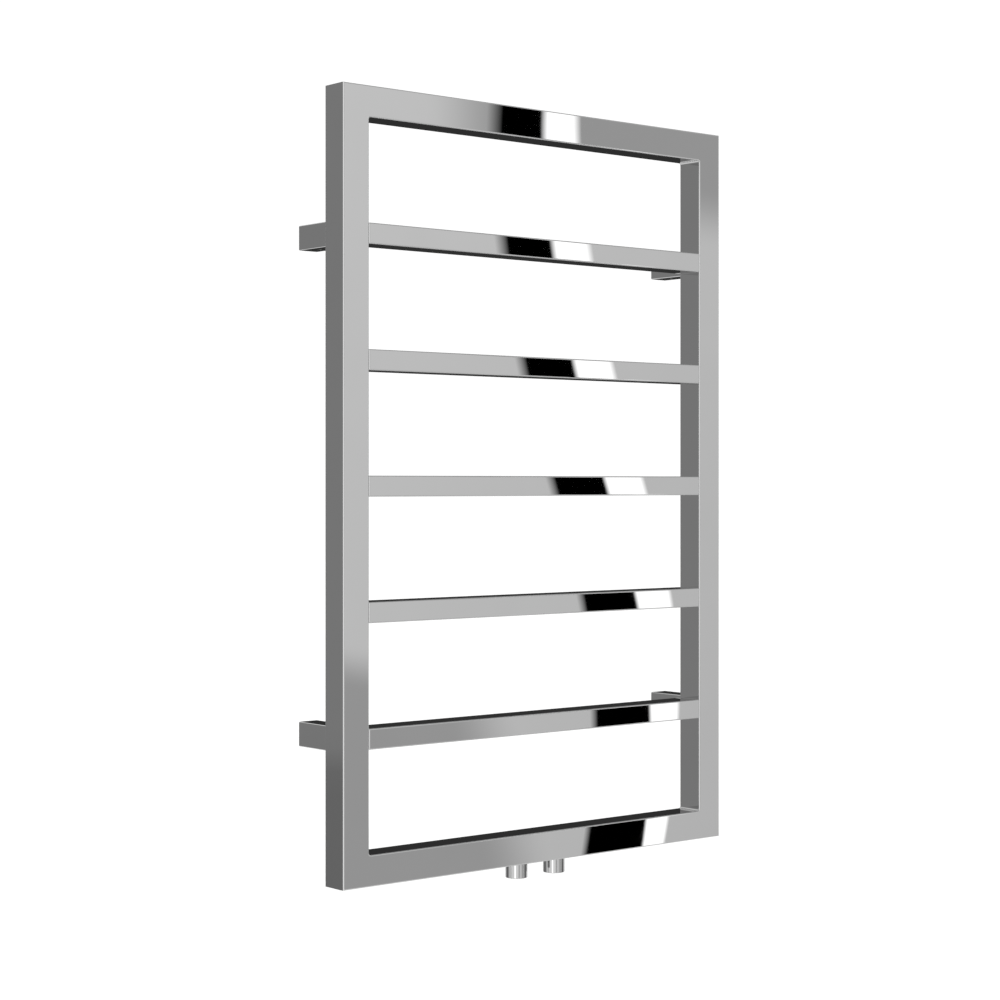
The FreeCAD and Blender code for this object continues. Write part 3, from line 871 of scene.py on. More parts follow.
@dataclass
class PipeSocket:
    """A turned socket with a half-inch pipe thread inside, welded into the bottom tube.

    Attributes:
        node: the CAD node it stands for.
        pitch: from one turn of the thread to the next: 14 turns to the inch.
        groove: depth of the thread.
        bore: radius of the thread's crests.
        chamfer: bevel at the mouth's outer edge.
        fillet: radius of the dressed weld under the tube.
        stand_out: how far the socket stands out below the tube.
    """

    node: str
    pitch: float = 1.814 * MM
    groove: float = 1.0 * MM
    bore: float = 9.3 * MM
    chamfer: float = 0.5 * MM
    fillet: float = 0.7 * MM
    stand_out: float = 15.0 * MM

    def build(self) -> bpy.types.Object:
        """Build and dress the socket."""
        middle, size = box_of(self.node)
        outer, foot = size[0] / 2, np.array([middle[0], middle[1], middle[2] - size[2] / 2])
        weld = arc_run((outer + self.fillet, self.stand_out - self.fillet), self.fillet, 180, 90)
        lead = self.bore + self.groove
        shell = Shell()
        shell.add_turned([
            [(lead, 0.0), (outer - self.chamfer, 0.0)],
            [(outer - self.chamfer, 0.0), (outer, self.chamfer)],
            [(outer, self.chamfer), (outer, self.stand_out - self.fillet)],
            weld,
            [(outer + self.fillet, self.stand_out), (outer, self.stand_out)],
            [(outer, self.stand_out), (outer, size[2])],
            [(outer, size[2]), (self.bore, size[2])],
        ], foot, Axis.Z, 96)
        shell.coat = 1
        self.add_thread(shell, foot, size[2])
        # Cut steel: a dull warm grey with the tool's rings and darker stains from the water.
        steel = MetalFinish(f"cut steel thread {self.node}", "#A9A7A3", "#8F8A83", (0.2, 0.34),
                            Marks.TURNED, Axis.Z, spacing=0.3, depth=0.002, stain_size=5.0,
                            centre=tuple(foot))
        return place_piece(shell, f"{self.node}_turned", Home("rack", self.node, "chrome_socket"),
                           turned_chrome(foot, Axis.Z, self.node).material(), steel.material())

    def add_thread(self, shell: Shell, foot: np.ndarray, length: float) -> None:
        """Add the threaded bore.

        At angle a and height h the radius is bore + groove * (1 - cos(2 pi h / pitch - a)) / 2, a
        rounded groove that climbs one pitch in a turn. A bevel as deep as the groove opens the
        mouth, and the last pitch runs out to the plain bore.

        Args:
            shell: the socket's surface so far.
            foot: the centre of its mouth.
            length: length of the bore.
        """
        turn = np.linspace(0, 2 * math.pi, 97)
        heights = np.linspace(0, length, 12 * round(length / self.pitch) + 1)[:, None]
        phase = 2 * math.pi * heights / self.pitch - turn
        run_out = np.clip((length - heights) / self.pitch, 0, 1)
        radius = self.bore + run_out * self.groove * (1 - np.cos(phase)) / 2
        radius = np.maximum(radius, self.bore + self.groove - heights)
        points = lift(radius[..., None] * rays(turn), heights, Axis.Z) + foot
        climb = np.gradient(points, axis=0)
        sweep = np.gradient(points, axis=1)
        sweep[:, [0, -1]] = sweep[:, [1, 1]] * 0.5 + sweep[:, [-2, -2]] * 0.5
        normals = np.cross(climb, sweep)
        normals /= np.linalg.norm(normals, axis=-1)[..., None]
        inward = -(points - foot) * np.array([1, 1, 0])
        normals *= np.sign((normals * inward).sum(axis=-1))[..., None]
        shell.add_grid(points, normals)


# ---------------------------------------------------------------- wall brackets


@dataclass
class Bracket:
    """A wall bracket: a chrome sleeve that slides on a post and is held by a set screw.

    Attributes:
        name: such as "upper_left".
        corner: rounding of the sleeve's long edges.
        mouth: rounding of the sleeve's open end.
        side: thickness of the sleeve's side walls.
        floor: thickness of its top and bottom walls.
        web: thickness of its end wall at the upright.
        post_edge: rounding of the post's edges.
        wall_hole: radius of the wall screw's hole in the post.
        head_hole: radius of the counterbore for its head.
        seat: thickness of the post's end under that head.
        screw_room: clearance round the set screw in the sleeve's wall.
        bay: half the length of the patch of underside that the set screw's hole is cut in.
        screw_bevel: bevel of the set screw's outer end.
        key: the set screw's hexagon socket, across flats.
        key_depth: depth of that socket.
    """

    name: str
    corner: float = 1.2 * MM
    mouth: float = 0.3 * MM
    side: float = 2.0 * MM
    floor: float = 3.0 * MM
    web: float = 3.0 * MM
    post_edge: float = 0.4 * MM
    wall_hole: float = 3.25 * MM
    head_hole: float = 6.5 * MM
    seat: float = 8.0 * MM
    screw_room: float = 0.05 * MM
    bay: float = 4.0 * MM
    screw_bevel: float = 0.25 * MM
    key: float = 2.5 * MM
    key_depth: float = 2.0 * MM

    def build(self, sleeve_chrome: bpy.types.Material, zinc: bpy.types.Material) -> None:
        """Build the sleeve, the post and the set screw.

        Args:
            sleeve_chrome: finish of the sleeve.
            zinc: finish of the post and of the sleeve's inside.
        """
        place_piece(self.sleeve(), f"{self.name}_sleeve_skin",
                    Home("rack", f"{self.name}_sleeve", "chrome_sleeve"), sleeve_chrome, zinc)
        place_piece(self.post(), f"{self.name}_post_skin",
                    Home("wall_posts", f"{self.name}_post", "zinc_plated_steel"), zinc)
        centre = box_of(f"{self.name}_set_screw")[0]
        # Black oxide on hardened steel: nearly black, with a dull brown sheen and fine rings.
        black = turned_metal(f"black oxide set screw {self.name}", "#2A2A2C", "#332E2A", centre,
                             Axis.Z)
        place_piece(self.set_screw(), f"{self.name}_set_screw_turned",
                    Home(f"{self.name}_clamp", f"{self.name}_set_screw", "blackened_screw"),
                    black.material())

    def sleeve(self) -> Shell:
        """The hollow block behind an upright, open to the wall, with the set screw's hole below.

        Returns:
            The surface, its inside in the second coat.
        """
        middle, size = box_of(f"{self.name}_sleeve")
        screw, screw_size = box_of(f"{self.name}_set_screw")
        radius = screw_size[0] / 2 + self.screw_room
        front, back = middle[1] - size[1] / 2, middle[1] + size[1] / 2
        section = section_size(size, Axis.Y)
        origin = np.array([middle[0], 0.0, middle[2]])
        cuts = [screw[1] - self.bay, screw[1] + self.bay]
        points, normals = eased_bar(section, Axis.Y, self.corner, (front, back), (0.0, self.mouth),
                                    cuts)
        points = points + origin
        shell = Shell()
        shell.add_grid(points[:, :-1], normals[:, :-1])
        low, high = points[:, -2], points[:, -1]
        shell.add_grid(np.stack([low[:2], high[:2]]), DOWN)
        shell.add_grid(np.stack([low[2:], high[2:]]), np.stack([normals[2:, -2], normals[2:, -1]]))
        level, inside = middle[2] - section[1] / 2, middle[2] - section[1] / 2 + self.floor
        hole = np.array([middle[0], screw[1]]) + circle(radius, 32, math.pi / 4)
        corners = np.array([high[2], low[2], low[1], high[1]])
        shell.add_plate(corners, lift(hole, level, Axis.Z), DOWN)
        shell.add_polygon(points[0, :-1], TO_ROOM)
        half = section / 2 - np.array([self.side, self.floor])
        rim = points[-1] - origin
        inner = lift(np.clip(rim[:, [0, 2]], -half, half), back, Axis.Y) + origin
        shell.add_grid(np.stack([points[-1], inner]), TO_WALL)
        shell.coat = 1
        pocket = front + self.web
        hollow = half * np.array([(1, 1), (-1, 1), (-1, -1), (1, -1)])
        for start, facing in ((0, (0, 0, -1)), (1, (1, 0, 0)), (3, (-1, 0, 0))):
            pair = hollow[[start, (start + 1) % 4]]
            shell.add_grid(np.stack([lift(pair, y, Axis.Y) + origin for y in (pocket, back)]),
                           np.array(facing, dtype=float))
        floor_low, floor_high = middle[0] - half[0], middle[0] + half[0]
        for start, end in ((pocket, cuts[0]), (cuts[1], back)):
            strip = [(floor_low, start, inside), (floor_high, start, inside),
                     (floor_high, end, inside), (floor_low, end, inside)]
            shell.add_polygon(np.array(strip), UP)
        corners = np.array([(floor_high, cuts[1], inside), (floor_low, cuts[1], inside),
                            (floor_low, cuts[0], inside), (floor_high, cuts[0], inside)])
        shell.add_plate(corners, lift(hole, inside, Axis.Z), UP)
        shell.add_turned([[(radius, self.floor), (radius, 0.0)]],
                         np.array([middle[0], screw[1], level]), Axis.Z, 32)
        shell.add_polygon(lift(hollow, pocket, Axis.Y) + origin, TO_WALL)
        return shell

    def post(self) -> Shell:
        """The zinc-plated block on the wall, bored for its screw and counterbored from the front.

        Returns:
            The surface.
        """
        middle, size = box_of(f"{self.name}_post")
        front, back = middle[1] - size[1] / 2, middle[1] + size[1] / 2
        section = section_size(size, Axis.Y)
        origin = np.array([middle[0], 0.0, middle[2]])
        points, normals = eased_bar(section, Axis.Y, 2 * self.post_edge, (front, back),
                                    (self.post_edge, self.post_edge))
        shell = Shell()
        shell.add_grid(points + origin, normals)
        for row, level, radius, facing in ((points[0], front, self.head_hole, -1.0),
                                           (points[-1], back, self.wall_hole, 1.0)):
            hole = circle(radius, 36, -math.pi / 2)
            rim = lift(np.vstack([hole, hole[:1]]), level, Axis.Y) + origin
            shell.add_grid(np.stack([row + origin, rim]), facing * TO_WALL)
        shell.add_turned([[(self.wall_hole, back), (self.wall_hole, back - self.seat)],
                          [(self.wall_hole, back - self.seat), (self.head_hole, back - self.seat)],
                          [(self.head_hole, back - self.seat), (self.head_hole, front)]],
                         origin, Axis.Y, 36)
        return shell

    def set_screw(self) -> Shell:
        """The set screw: bevelled ends and a hexagon socket that opens downwards.

        Returns:
            The surface.
        """
        middle, size = box_of(f"{self.name}_set_screw")
        radius, foot = size[0] / 2, np.array([middle[0], middle[1], middle[2] - size[2] / 2])
        bevel, tip = self.screw_bevel, radius / 5
        shell = Shell()
        rim = lift(circle(radius - bevel, 48, math.pi / 6), 0.0, Axis.Z) + foot
        hexagon = circle(self.key / math.sqrt(3), 6, math.pi / 6)
        shell.add_plate(lift(hexagon, 0.0, Axis.Z) + foot, rim, DOWN)
        shell.add_turned([[(radius - bevel, 0.0), (radius, bevel)],
                          [(radius, bevel), (radius, size[2] - tip)],
                          [(radius, size[2] - tip), (radius - tip, size[2])],
                          [(radius - tip, size[2]), (0.0, size[2])]], foot, Axis.Z, 48)
        for side in range(6):
            pair = hexagon[[side, (side + 1) % 6]]
            wall = np.stack([lift(pair, height, Axis.Z) + foot for height in (0.0, self.key_depth)])
            inward = -pair.mean(axis=0)
            shell.add_grid(wall, lift(inward / np.linalg.norm(inward), 0.0, Axis.Z))
        shell.add_polygon(lift(hexagon, self.key_depth, Axis.Z) + foot, DOWN)
        return shell


# ---------------------------------------------------------------- air vent


@dataclass
class AirVent:
    """The air vent behind the top tube: a welded boss, a hexagon plug and a slotted bleed screw.

    Heights are measured from the boss's outer face, towards the wall.

    Attributes:
        fillet: radius of the dressed weld round the boss.
        wall: thickness of the tube wall that the boss goes through.
        bevel: bevel of turned edges.
        thread: radius of the plug's shank.
        seat: radius of the recess for the O-ring.
        seat_depth: depth of that recess.
        flats: the hexagon, across flats.
        head: height of the hexagon.
        shank: length of the plug's shank.
        crown: radius where the hexagon's thirty-degree bevel starts.
        bore: radius of the bleed screw's hole.
        bore_depth: depth of that hole below the boss's face.
        passage: radius of the air passage behind it.
        outlet: radius of the air outlet in the hexagon's lowest corner.
        slot: half the width of the screwdriver slot.
        slot_depth: depth of that slot.
    """

    fillet: float = 0.8 * MM
    wall: float = 1.5 * MM
    bevel: float = 0.4 * MM
    thread: float = 5.75 * MM
    seat: float = 7.59 * MM
    seat_depth: float = 1.84 * MM
    flats: float = 15.0 * MM
    head: float = 4.0 * MM
    shank: float = 8.0 * MM
    crown: float = 7.15 * MM
    bore: float = 2.55 * MM
    bore_depth: float = 4.05 * MM
    passage: float = 1.5 * MM
    outlet: float = 0.8 * MM
    slot: float = 0.5 * MM
    slot_depth: float = 1.2 * MM

    def build(self, rubber: bpy.types.Material, nodes: dict[str, bpy.types.Object]) -> None:
        """Build the boss, the plug and the bleed screw, and dress the O-ring.

        Args:
            rubber: finish of the O-ring.
            nodes: the CAD nodes by name.
        """
        middle, size = box_of("vent_boss")
        centre = middle + np.array([0.0, size[1] / 2, 0.0])
        chrome = turned_chrome(centre, Axis.Y, "at the vent").material()
        # Nickel over free-cutting brass: a warm satin with the lathe's rings.
        nickel = turned_metal("nickel plate on turned brass", "#CDC7BB", "#C2B9A6", centre,
                              Axis.Y).material()
        place_piece(self.boss(centre, size), "vent_boss_turned",
                    Home("rack", "vent_boss", "chrome_socket"), chrome)
        place_piece(self.plug(centre), "vent_plug_hexagon",
                    Home("rack", "vent_plug", "nickel_plated_brass"), nickel)
        place_piece(self.bleed_screw(centre), "bleed_screw_slotted",
                    Home("bleed", "bleed_screw", "nickel_plated_brass"), nickel)
        dress(nodes["vent_o_ring"], rubber)

    def boss(self, centre: np.ndarray, size: np.ndarray) -> Shell:
        """The ring welded into the tube's back, with a recess for the O-ring.

        Args:
            centre: the middle of its outer face.
            size: the CAD boss's size.

        Returns:
            The surface.
        """
        outer, root, face = size[0] / 2, -size[1], self.wall - size[1]
        shell = Shell()
        shell.add_turned([
            [(self.thread, root), (outer, root)],
            [(outer, root), (outer, face)],
            [(outer, face), (outer + self.fillet, face)],
            arc_run((outer + self.fillet, face + self.fillet), self.fillet, 270, 180),
            [(outer, face + self.fillet), (outer, -self.bevel)],
            [(outer, -self.bevel), (outer - self.bevel, 0.0)],
            [(outer - self.bevel, 0.0), (self.seat, 0.0)],
            [(self.seat, 0.0), (self.seat, -self.seat_depth)],
            [(self.seat, -self.seat_depth), (self.thread, -self.seat_depth)],
            [(self.thread, -self.seat_depth), (self.thread, root)],
        ], centre, Axis.Y, 96)
        return shell

    def plug(self, centre: np.ndarray) -> Shell:
        """The hexagon plug: a prism whose top is bevelled by a cone, bored for the bleed screw.

        On a side whose middle points at angle m, the point at angle a lies at the radius
        half the flats / cos(a - m), and the bevel meets it at head - (radius - crown) * tan 30.

        Args:
            centre: the middle of the boss's outer face.

        Returns:
            The surface.
        """
        shell, sixth, pitch = Shell(), math.pi / 3, math.tan(math.pi / 6)
        half_way = 8
        for side in range(6):
            turn = math.pi / 2 + sixth * (side + np.linspace(0, 1, 2 * half_way + 1))
            ray = rays(turn)
            reach = self.flats / 2 / np.cos(turn - turn[half_way])
            top = self.head - (reach - self.crown) * pitch
            edge = lift(reach[:, None] * ray, top, Axis.Y)
            shoulder = lift(self.crown * ray, self.head, Axis.Y)
            shell.add_grid(np.stack([shoulder, edge]) + centre,
                           lift(ray / 2, math.cos(math.pi / 6), Axis.Y))
            foot = lift((reach[:, None] * ray)[[0, -1]], 0.0, Axis.Y)
            bite = self.outlet_bite(side)
            outline = (np.concatenate([foot[1:], edge[::-1], bite, foot[:1]]) if side == 3 else
                       np.concatenate([foot, bite, edge[::-1]]))
            shell.add_polygon(outline + centre, lift(ray[half_way], 0.0, Axis.Y))
        hexagon = lift(circle(self.flats / math.sqrt(3), 6, math.pi / 2), 0.0, Axis.Y) + centre
        rim = lift(circle(self.thread, 96, math.pi / 2), 0.0, Axis.Y) + centre
        shell.add_plate(hexagon, rim, TO_ROOM)
        end = -self.shank
        shell.add_turned([
            [(self.passage, end), (self.thread - self.bevel, end)],
            [(self.thread - self.bevel, end), (self.thread, end + self.bevel)],
            [(self.thread, end + self.bevel), (self.thread, 0.0)],
        ], centre, Axis.Y, 96)
        shell.add_turned([
            [(self.crown, self.head), (self.bore, self.head)],
            [(self.bore, self.head), (self.bore, -self.bore_depth)],
            [(self.bore, -self.bore_depth), (self.passage, -self.bore_depth)],
            [(self.passage, -self.bore_depth), (self.passage, end)],
        ], centre, Axis.Y, 96)
        around = np.linspace(0, 2 * math.pi, 33)
        across, height = self.outlet * np.cos(around), self.head / 2 + self.outlet * np.sin(around)
        outer = -self.flats / math.sqrt(3) + np.abs(across) * pitch
        inner = -np.sqrt(self.bore ** 2 - across ** 2)
        wall = np.stack([np.stack([across, height, depth], axis=1) for depth in (outer, inner)])
        shell.add_grid(wall + centre, lift(-rays(around), 0.0, Axis.Z))
        return shell

    def outlet_bite(self, side: int) -> np.ndarray:
        """The half circle that the air outlet cuts out of a side beside the lowest corner.

        Args:
            side: number of the hexagon's side, the first one starting at the top corner.

        Returns:
            Points from the corner's lower to its upper meeting point for side 2, the other way for
            side 3, and none for every other side.
        """
        if side not in (2, 3):
            return np.empty((0, 3))
        turn = np.linspace(-math.pi / 2, math.pi / 2, 17)[::1 if side == 2 else -1]
        across = self.outlet * np.cos(turn) * (-1 if side == 2 else 1)
        depth = -self.flats / math.sqrt(3) + np.abs(across) * math.tan(math.pi / 6)
        return np.stack([across, self.head / 2 + self.outlet * np.sin(turn), depth], axis=1)

    def bleed_screw(self, centre: np.ndarray) -> Shell:
        """The bleed screw: a round pin with a bevelled end and a slot across its head.

        Above the slot's floor the pin is two segments of a circle, from the angle whose sine is
        slot / radius to its mirror image.

        Args:
            centre: the middle of the boss's outer face.

        Returns:
            The surface.
        """
        middle, size = box_of("bleed_screw")
        radius, foot = size[0] / 2, middle[1] - size[1] / 2 - centre[1]
        crest = foot + size[1]
        floor, tip, bevel = crest - self.slot_depth, radius / 5, self.bevel / 2
        lip = math.asin(self.slot / radius)
        parts = [np.linspace(lip, math.pi - lip, 25), np.linspace(math.pi - lip, math.pi + lip, 4)]
        rest = [parts[1][1:], parts[0][1:] + math.pi, parts[1][1:] + math.pi]
        ray = rays(np.concatenate([parts[0], *rest]))
        shell = Shell()
        for rows, slope in ((((radius - tip, foot), (radius, foot + tip)), (1.0, -1.0)),
                            (((radius, foot + tip), (radius, floor)), (1.0, 0.0))):
            grid = np.stack([lift(reach * ray, height, Axis.Y) for reach, height in rows]) + centre
            unit = np.array(slope) / np.linalg.norm(slope)
            shell.add_grid(grid, lift(unit[0] * ray, unit[1], Axis.Y))
        shell.add_polygon(lift((radius - tip) * ray[:-1], foot, Axis.Y) + centre, TO_ROOM)
        ends = np.concatenate([parts[1], parts[1] + math.pi])
        shell.add_polygon(lift(radius * rays(ends), floor, Axis.Y) + centre, TO_WALL)
        for sign in (1, -1):
            arcs = []
            profile = ((radius, floor), (radius, crest - bevel), (radius - bevel, crest))
            for reach, height in profile:
                start = math.asin(self.slot / reach)
                angle = np.linspace(start, math.pi - start, 25)
                unit_ray = rays(angle) * sign
                arcs.append((lift(reach * unit_ray, height, Axis.Y) + centre, unit_ray))
            (low, ray_low), (high, _), (top, _) = arcs
            shell.add_grid(np.stack([low, high]), lift(ray_low, 0.0, Axis.Y))
            shell.add_grid(np.stack([high, top]), lift(ray_low, 1.0, Axis.Y) / math.sqrt(2))
            shell.add_polygon(top, TO_WALL)
            shell.add_polygon(np.array([low[0], high[0], top[0], top[-1], high[-1], low[-1]]),
                              (0.0, 0.0, -float(sign)))
        return shell


def dress(node: bpy.types.Object, material: bpy.types.Material) -> None:
    """Give a CAD node that stays in view a finish of its own."""
    for slot in node.material_slots:
        slot.material = material
    log.info("%s: keeps its CAD shape, now %s", node.name, material.name)


# ---------------------------------------------------------------- studio


def smooth(value: np.ndarray | float, low: float, high: float) -> np.ndarray:
    """Ease from 0 at low to 1 at high: t * t * (3 - 2 t), with t clipped to 0..1."""
    t = np.clip((value - low) / (high - low), 0, 1)
    return t * t * (3 - 2 * t)


def near(value: np.ndarray | float, inner: float, outer: float) -> np.ndarray:
    """1 where a value is within inner of 0, easing to 0 at outer."""
    return 1 - smooth(np.abs(value), inner, outer)


def plateau(value: np.ndarray, foot: float, top: float, edge: float, end: float) -> np.ndarray:
    """Ease from 0 at foot to 1 at top, stay there up to edge and ease back to 0 at end."""
    return smooth(value, foot, top) * (1 - smooth(value, edge, end))


@dataclass(frozen=True)
class Viewpoint:
    """A level camera in front of the rack, to its left and as high as its middle.

    Attributes:
        place: where it stands, in metres.
        turn: how far it is turned from looking straight along +Y, in degrees.
        lens: focal length in mm on a sensor 36 mm wide.
        rise: how far the view is shifted up, as a share of its width, so that upright edges stay
            parallel.
    """

    place: tuple[float, float, float] = (-1.4458, -1.7510, 0.0029)
    turn: float = 39.69
    lens: float = 78.6
    rise: float = -0.0169

    def build(self) -> None:
        """Make the camera and use it for the scene."""
        camera = bpy.data.objects.new("camera", bpy.data.cameras.new("camera"))
        camera.data.lens, camera.data.sensor_width, camera.data.shift_y = self.lens, 36.0, self.rise
        camera.location = self.place
        camera.rotation_euler = (math.radians(90.0), 0.0, math.radians(-self.turn))
        bpy.context.scene.collection.objects.link(camera)
        bpy.context.scene.camera = camera


@dataclass(frozen=True)
class StripEdge:
    """One upright edge of a reflector, which leans and sways as it rises.

    At height h its sideways place is shift + lean * h - sway * sin(2 pi h / wave - lag)
    + ripple * sin(2 pi h / short - start), and its fade is softness * exp(growth * h) wide.

    Attributes:
        shift: sideways place in the middle, in metres.
        lean: sideways travel for each metre of height.
        sway: size of the sideways wave, in metres.
        wave: height of one whole wave, in metres.
        lag: where the wave starts, in radians.
        softness: width over which the edge fades in the middle, in metres.
        ripple: size of the small wave that all the edges share, in metres.
        short: height of one small wave, in metres.
        start: where the small wave starts, in radians.
        growth: how fast the fade widens upwards, per metre.
    """

    shift: float
    lean: float
    sway: float
    wave: float
    lag: float
    softness: float
    ripple: float = 0.0042
    short: float = 0.92
    start: float = 2.55
    growth: float = 0.5

    def across(self, height: np.ndarray) -> np.ndarray:
        """Sideways place at each height."""
        sway = self.sway * np.sin(2 * math.pi * height / self.wave - self.lag)
        ripple = self.ripple * np.sin(2 * math.pi * height / self.short - self.start)
        return self.shift + self.lean * height - sway + ripple

    def fade(self, height: np.ndarray) -> np.ndarray:
        """Width of the fade at each height."""
        return self.softness * np.exp(self.growth * height)


@dataclass(frozen=True)
class PanelEdge:
    """A straight, soft edge of the light panel.

    Attributes:
        across: sideways place of a point on the edge, in metres.
        up: height of that point, in metres.
        tilt: the way from the edge into the panel, in degrees above the sideways direction.
        softness: half the width of its fade, in metres.
    """

    across: float
    up: float
    tilt: float
    softness: float

    def cover(self, across: np.ndarray, up: np.ndarray) -> np.ndarray:
        """How far each place is inside the edge, from 0 to 1."""
        a = math.radians(self.tilt)
        inside = (across - self.across) * math.cos(a) + (up - self.up) * math.sin(a)
        return smooth(inside, -self.softness, self.softness)


@dataclass(frozen=True)
class Surroundings:
    """Brightness of what stands far round the rack, by direction from it.

    Directions are in degrees to the right of the way from the rack to the camera, and rises in
    degrees above the horizon. A tuple of four is a plateau: foot, top, edge and end. A tuple of
    two is where a fade starts and ends.

    Attributes:
        horizon: (direction, brightness) pairs round the horizon.
        upright: rises between which every upright strip fades out.
        pairs: directions of narrow black-and-white strips like those in front of the screen.
        pair_lean: sideways travel of those strips for each degree of rise.
        pair_sway: size of their sideways wave, in degrees.
        pair_waves: whole waves of it in a full turn of rise.
        pair_dark: plateau of the black strip beside its direction.
        pair_bright: plateau of the white strip.
        dark_depth: share of the light that a black strip takes away.
        white: brightness of a white strip.
        lamp: direction of a bright upright strip.
        lamp_width: fade of that strip, from its middle.
        lamp_tone: its brightness.
        low_left: plateau of the low board on the left.
        low_left_top: rises between which its upper edge fades.
        low_left_depth: share of the light that it takes away.
        low_right: plateau of the low board on the right.
        low_right_top: rises between which its upper edge fades.
        low_right_tone: its brightness.
        low_end: depths below the horizon between which both boards fade out.
        above: mean brightness overhead.
        swing: how far the brightness overhead rises and falls, twice on the way round.
        swing_start: where that wave starts.
        below: brightness underfoot.
        sectors: number of darker sectors overhead and underfoot.
        sector_lean: sideways travel of the sectors for each degree of rise, times their number.
        sector_start: where the first sector starts.
        sector_depth: share of the light that a sector takes away.
        sector_reach: rises between which the sectors fade in.
        rails: rises of a brighter rail overhead and a darker one underfoot.
        rail_width: fade of the rails, from their middles.
        rail_step: how much brighter or darker they are.
        turnover: rises between which the horizon gives way to what is overhead or underfoot.
        board_sides: fade of the dark board behind the rack, from its middle direction.
        board_ends: rises between which that board fades out.
        board_tone: its brightness.
    """

    horizon: tuple[tuple[float, float], ...] = (
        (-180, 0.30), (-164, 0.34), (-146, 0.86), (-133, 0.42), (-124, 0.17), (-116, 0.18),
        (-107, 0.31), (-94, 0.31), (-85, 0.68), (-60, 0.99), (-35, 1.05), (5, 1.14), (26, 0.80),
        (48, 0.88), (64, 0.70), (74, 0.66), (88, 0.76), (120, 0.74), (140, 0.92), (160, 0.45),
        (180, 0.30))
    upright: tuple[float, float] = (22, 30)
    pairs: tuple[float, ...] = (-140.0, -50.0, 40.0, 130.0)
    pair_lean: float = 0.38
    pair_sway: float = 2.2
    pair_waves: int = 8
    pair_dark: tuple[float, ...] = (-4.6, -4.0, -0.3, 0.3)
    pair_bright: tuple[float, ...] = (-0.3, 0.3, 3.2, 3.8)
    dark_depth: float = 0.94
    white: float = 1.3
    lamp: float = -14.5
    lamp_width: tuple[float, float] = (4.5, 7.5)
    lamp_tone: float = 2.3
    low_left: tuple[float, ...] = (-121, -118, -102, -96)
    low_left_top: tuple[float, float] = (-9.0, -7.8)
    low_left_depth: float = 0.29
    low_right: tuple[float, ...] = (87, 90, 124, 130)
    low_right_top: tuple[float, float] = (-11.4, -10.2)
    low_right_tone: float = 0.19
    low_end: tuple[float, float] = (24, 34)
    above: float = 0.75
    swing: float = 0.16
    swing_start: float = 30.0
    below: float = 1.2
    sectors: int = 8
    sector_lean: float = 3.0
    sector_start: float = 85.0
    sector_depth: float = 0.55
    sector_reach: tuple[float, float] = (36, 46)
    rails: tuple[float, float] = (33, -62)
    rail_width: tuple[float, float] = (1.5, 3.5)
    rail_step: float = 0.5
    turnover: tuple[float, float] = (20, 40)
    board_sides: tuple[float, float] = (13, 19)
    board_ends: tuple[float, float] = (15, 21)
    board_tone: float = 0.035

    def tone(self, right: np.ndarray, rise: np.ndarray) -> np.ndarray:
        """Brightness in each direction.

        Args:
            right: directions round the horizon.
            rise: rises above it.

        Returns:
            The brightness, where a brightness a turns into b over a share s as a + (b - a) * s.
        """
        level = self.add_upright_strips(self.horizon_tone(right), right, rise)
        low = 1 - smooth(-rise, *self.low_end)
        left = plateau(right, *self.low_left) * (1 - smooth(rise, *self.low_left_top))
        board = plateau(right, *self.low_right) * (1 - smooth(rise, *self.low_right_top))
        level = level * (1 - self.low_left_depth * left * low)
        level = level + (self.low_right_tone - level) * board * low
        away = self.far_tone(right, rise)
        level = level + (away - level) * smooth(np.abs(rise), *self.turnover)
        behind = near(180 - np.abs(right), *self.board_sides) * near(rise, *self.board_ends)
        return level + (self.board_tone - level) * behind

    def horizon_tone(self, right: np.ndarray) -> np.ndarray:
        """Brightness round the horizon, which eases from one listed direction to the next."""
        marks = np.array(self.horizon)
        spot = np.interp(right, marks[:, 0], np.arange(len(marks)))
        lower = np.minimum(np.floor(spot), len(marks) - 2).astype(int)
        share = smooth(spot - lower, 0, 1)
        return marks[lower, 1] * (1 - share) + marks[lower + 1, 1] * share

    def add_upright_strips(self, level: np.ndarray, right: np.ndarray,
                           rise: np.ndarray) -> np.ndarray:
        """Stand the black and white pairs and the bright strip on the horizon.

        A pair lies at its direction + lean * rise + sway * sin(waves * rise).

        Args:
            level: brightness so far.
            right: directions round the horizon.
            rise: rises above it.

        Returns:
            The new brightness.
        """
        upright = near(rise, *self.upright)
        sway = self.pair_sway * np.sin(np.radians(rise * self.pair_waves))
        place = right - self.pair_lean * rise - sway
        for pair in self.pairs:
            dark = plateau(place - pair, *self.pair_dark) * upright
            bright = plateau(place - pair, *self.pair_bright) * upright
            level = level * (1 - self.dark_depth * dark) + (self.white - level) * bright
        lamp = near(right - self.lamp, *self.lamp_width) * upright
        return level + (self.lamp_tone - level) * lamp

    def far_tone(self, right: np.ndarray, rise: np.ndarray) -> np.ndarray:
        """Brightness overhead and underfoot, with a rail across each and the fan of sectors.

        Args:
            right: directions round the horizon.
            rise: rises above it.

        Returns:
            The brightness.
        """
        overhead = self.above + self.swing * np.sin(np.radians(2 * right + self.swing_start))
        away = np.where(rise > 0, overhead, self.below)
        angle = self.sectors * right + self.sector_lean * rise + self.sector_start
        fan = smooth(np.sin(np.radians(angle)), -0.5, 0.5)
        away = away * (1 - self.sector_depth * fan * smooth(np.abs(rise), *self.sector_reach))
        rail = near(rise - np.where(rise > 0, *self.rails), *self.rail_width)
        return away + np.where(rise > 0, self.rail_step, -self.rail_step) * rail


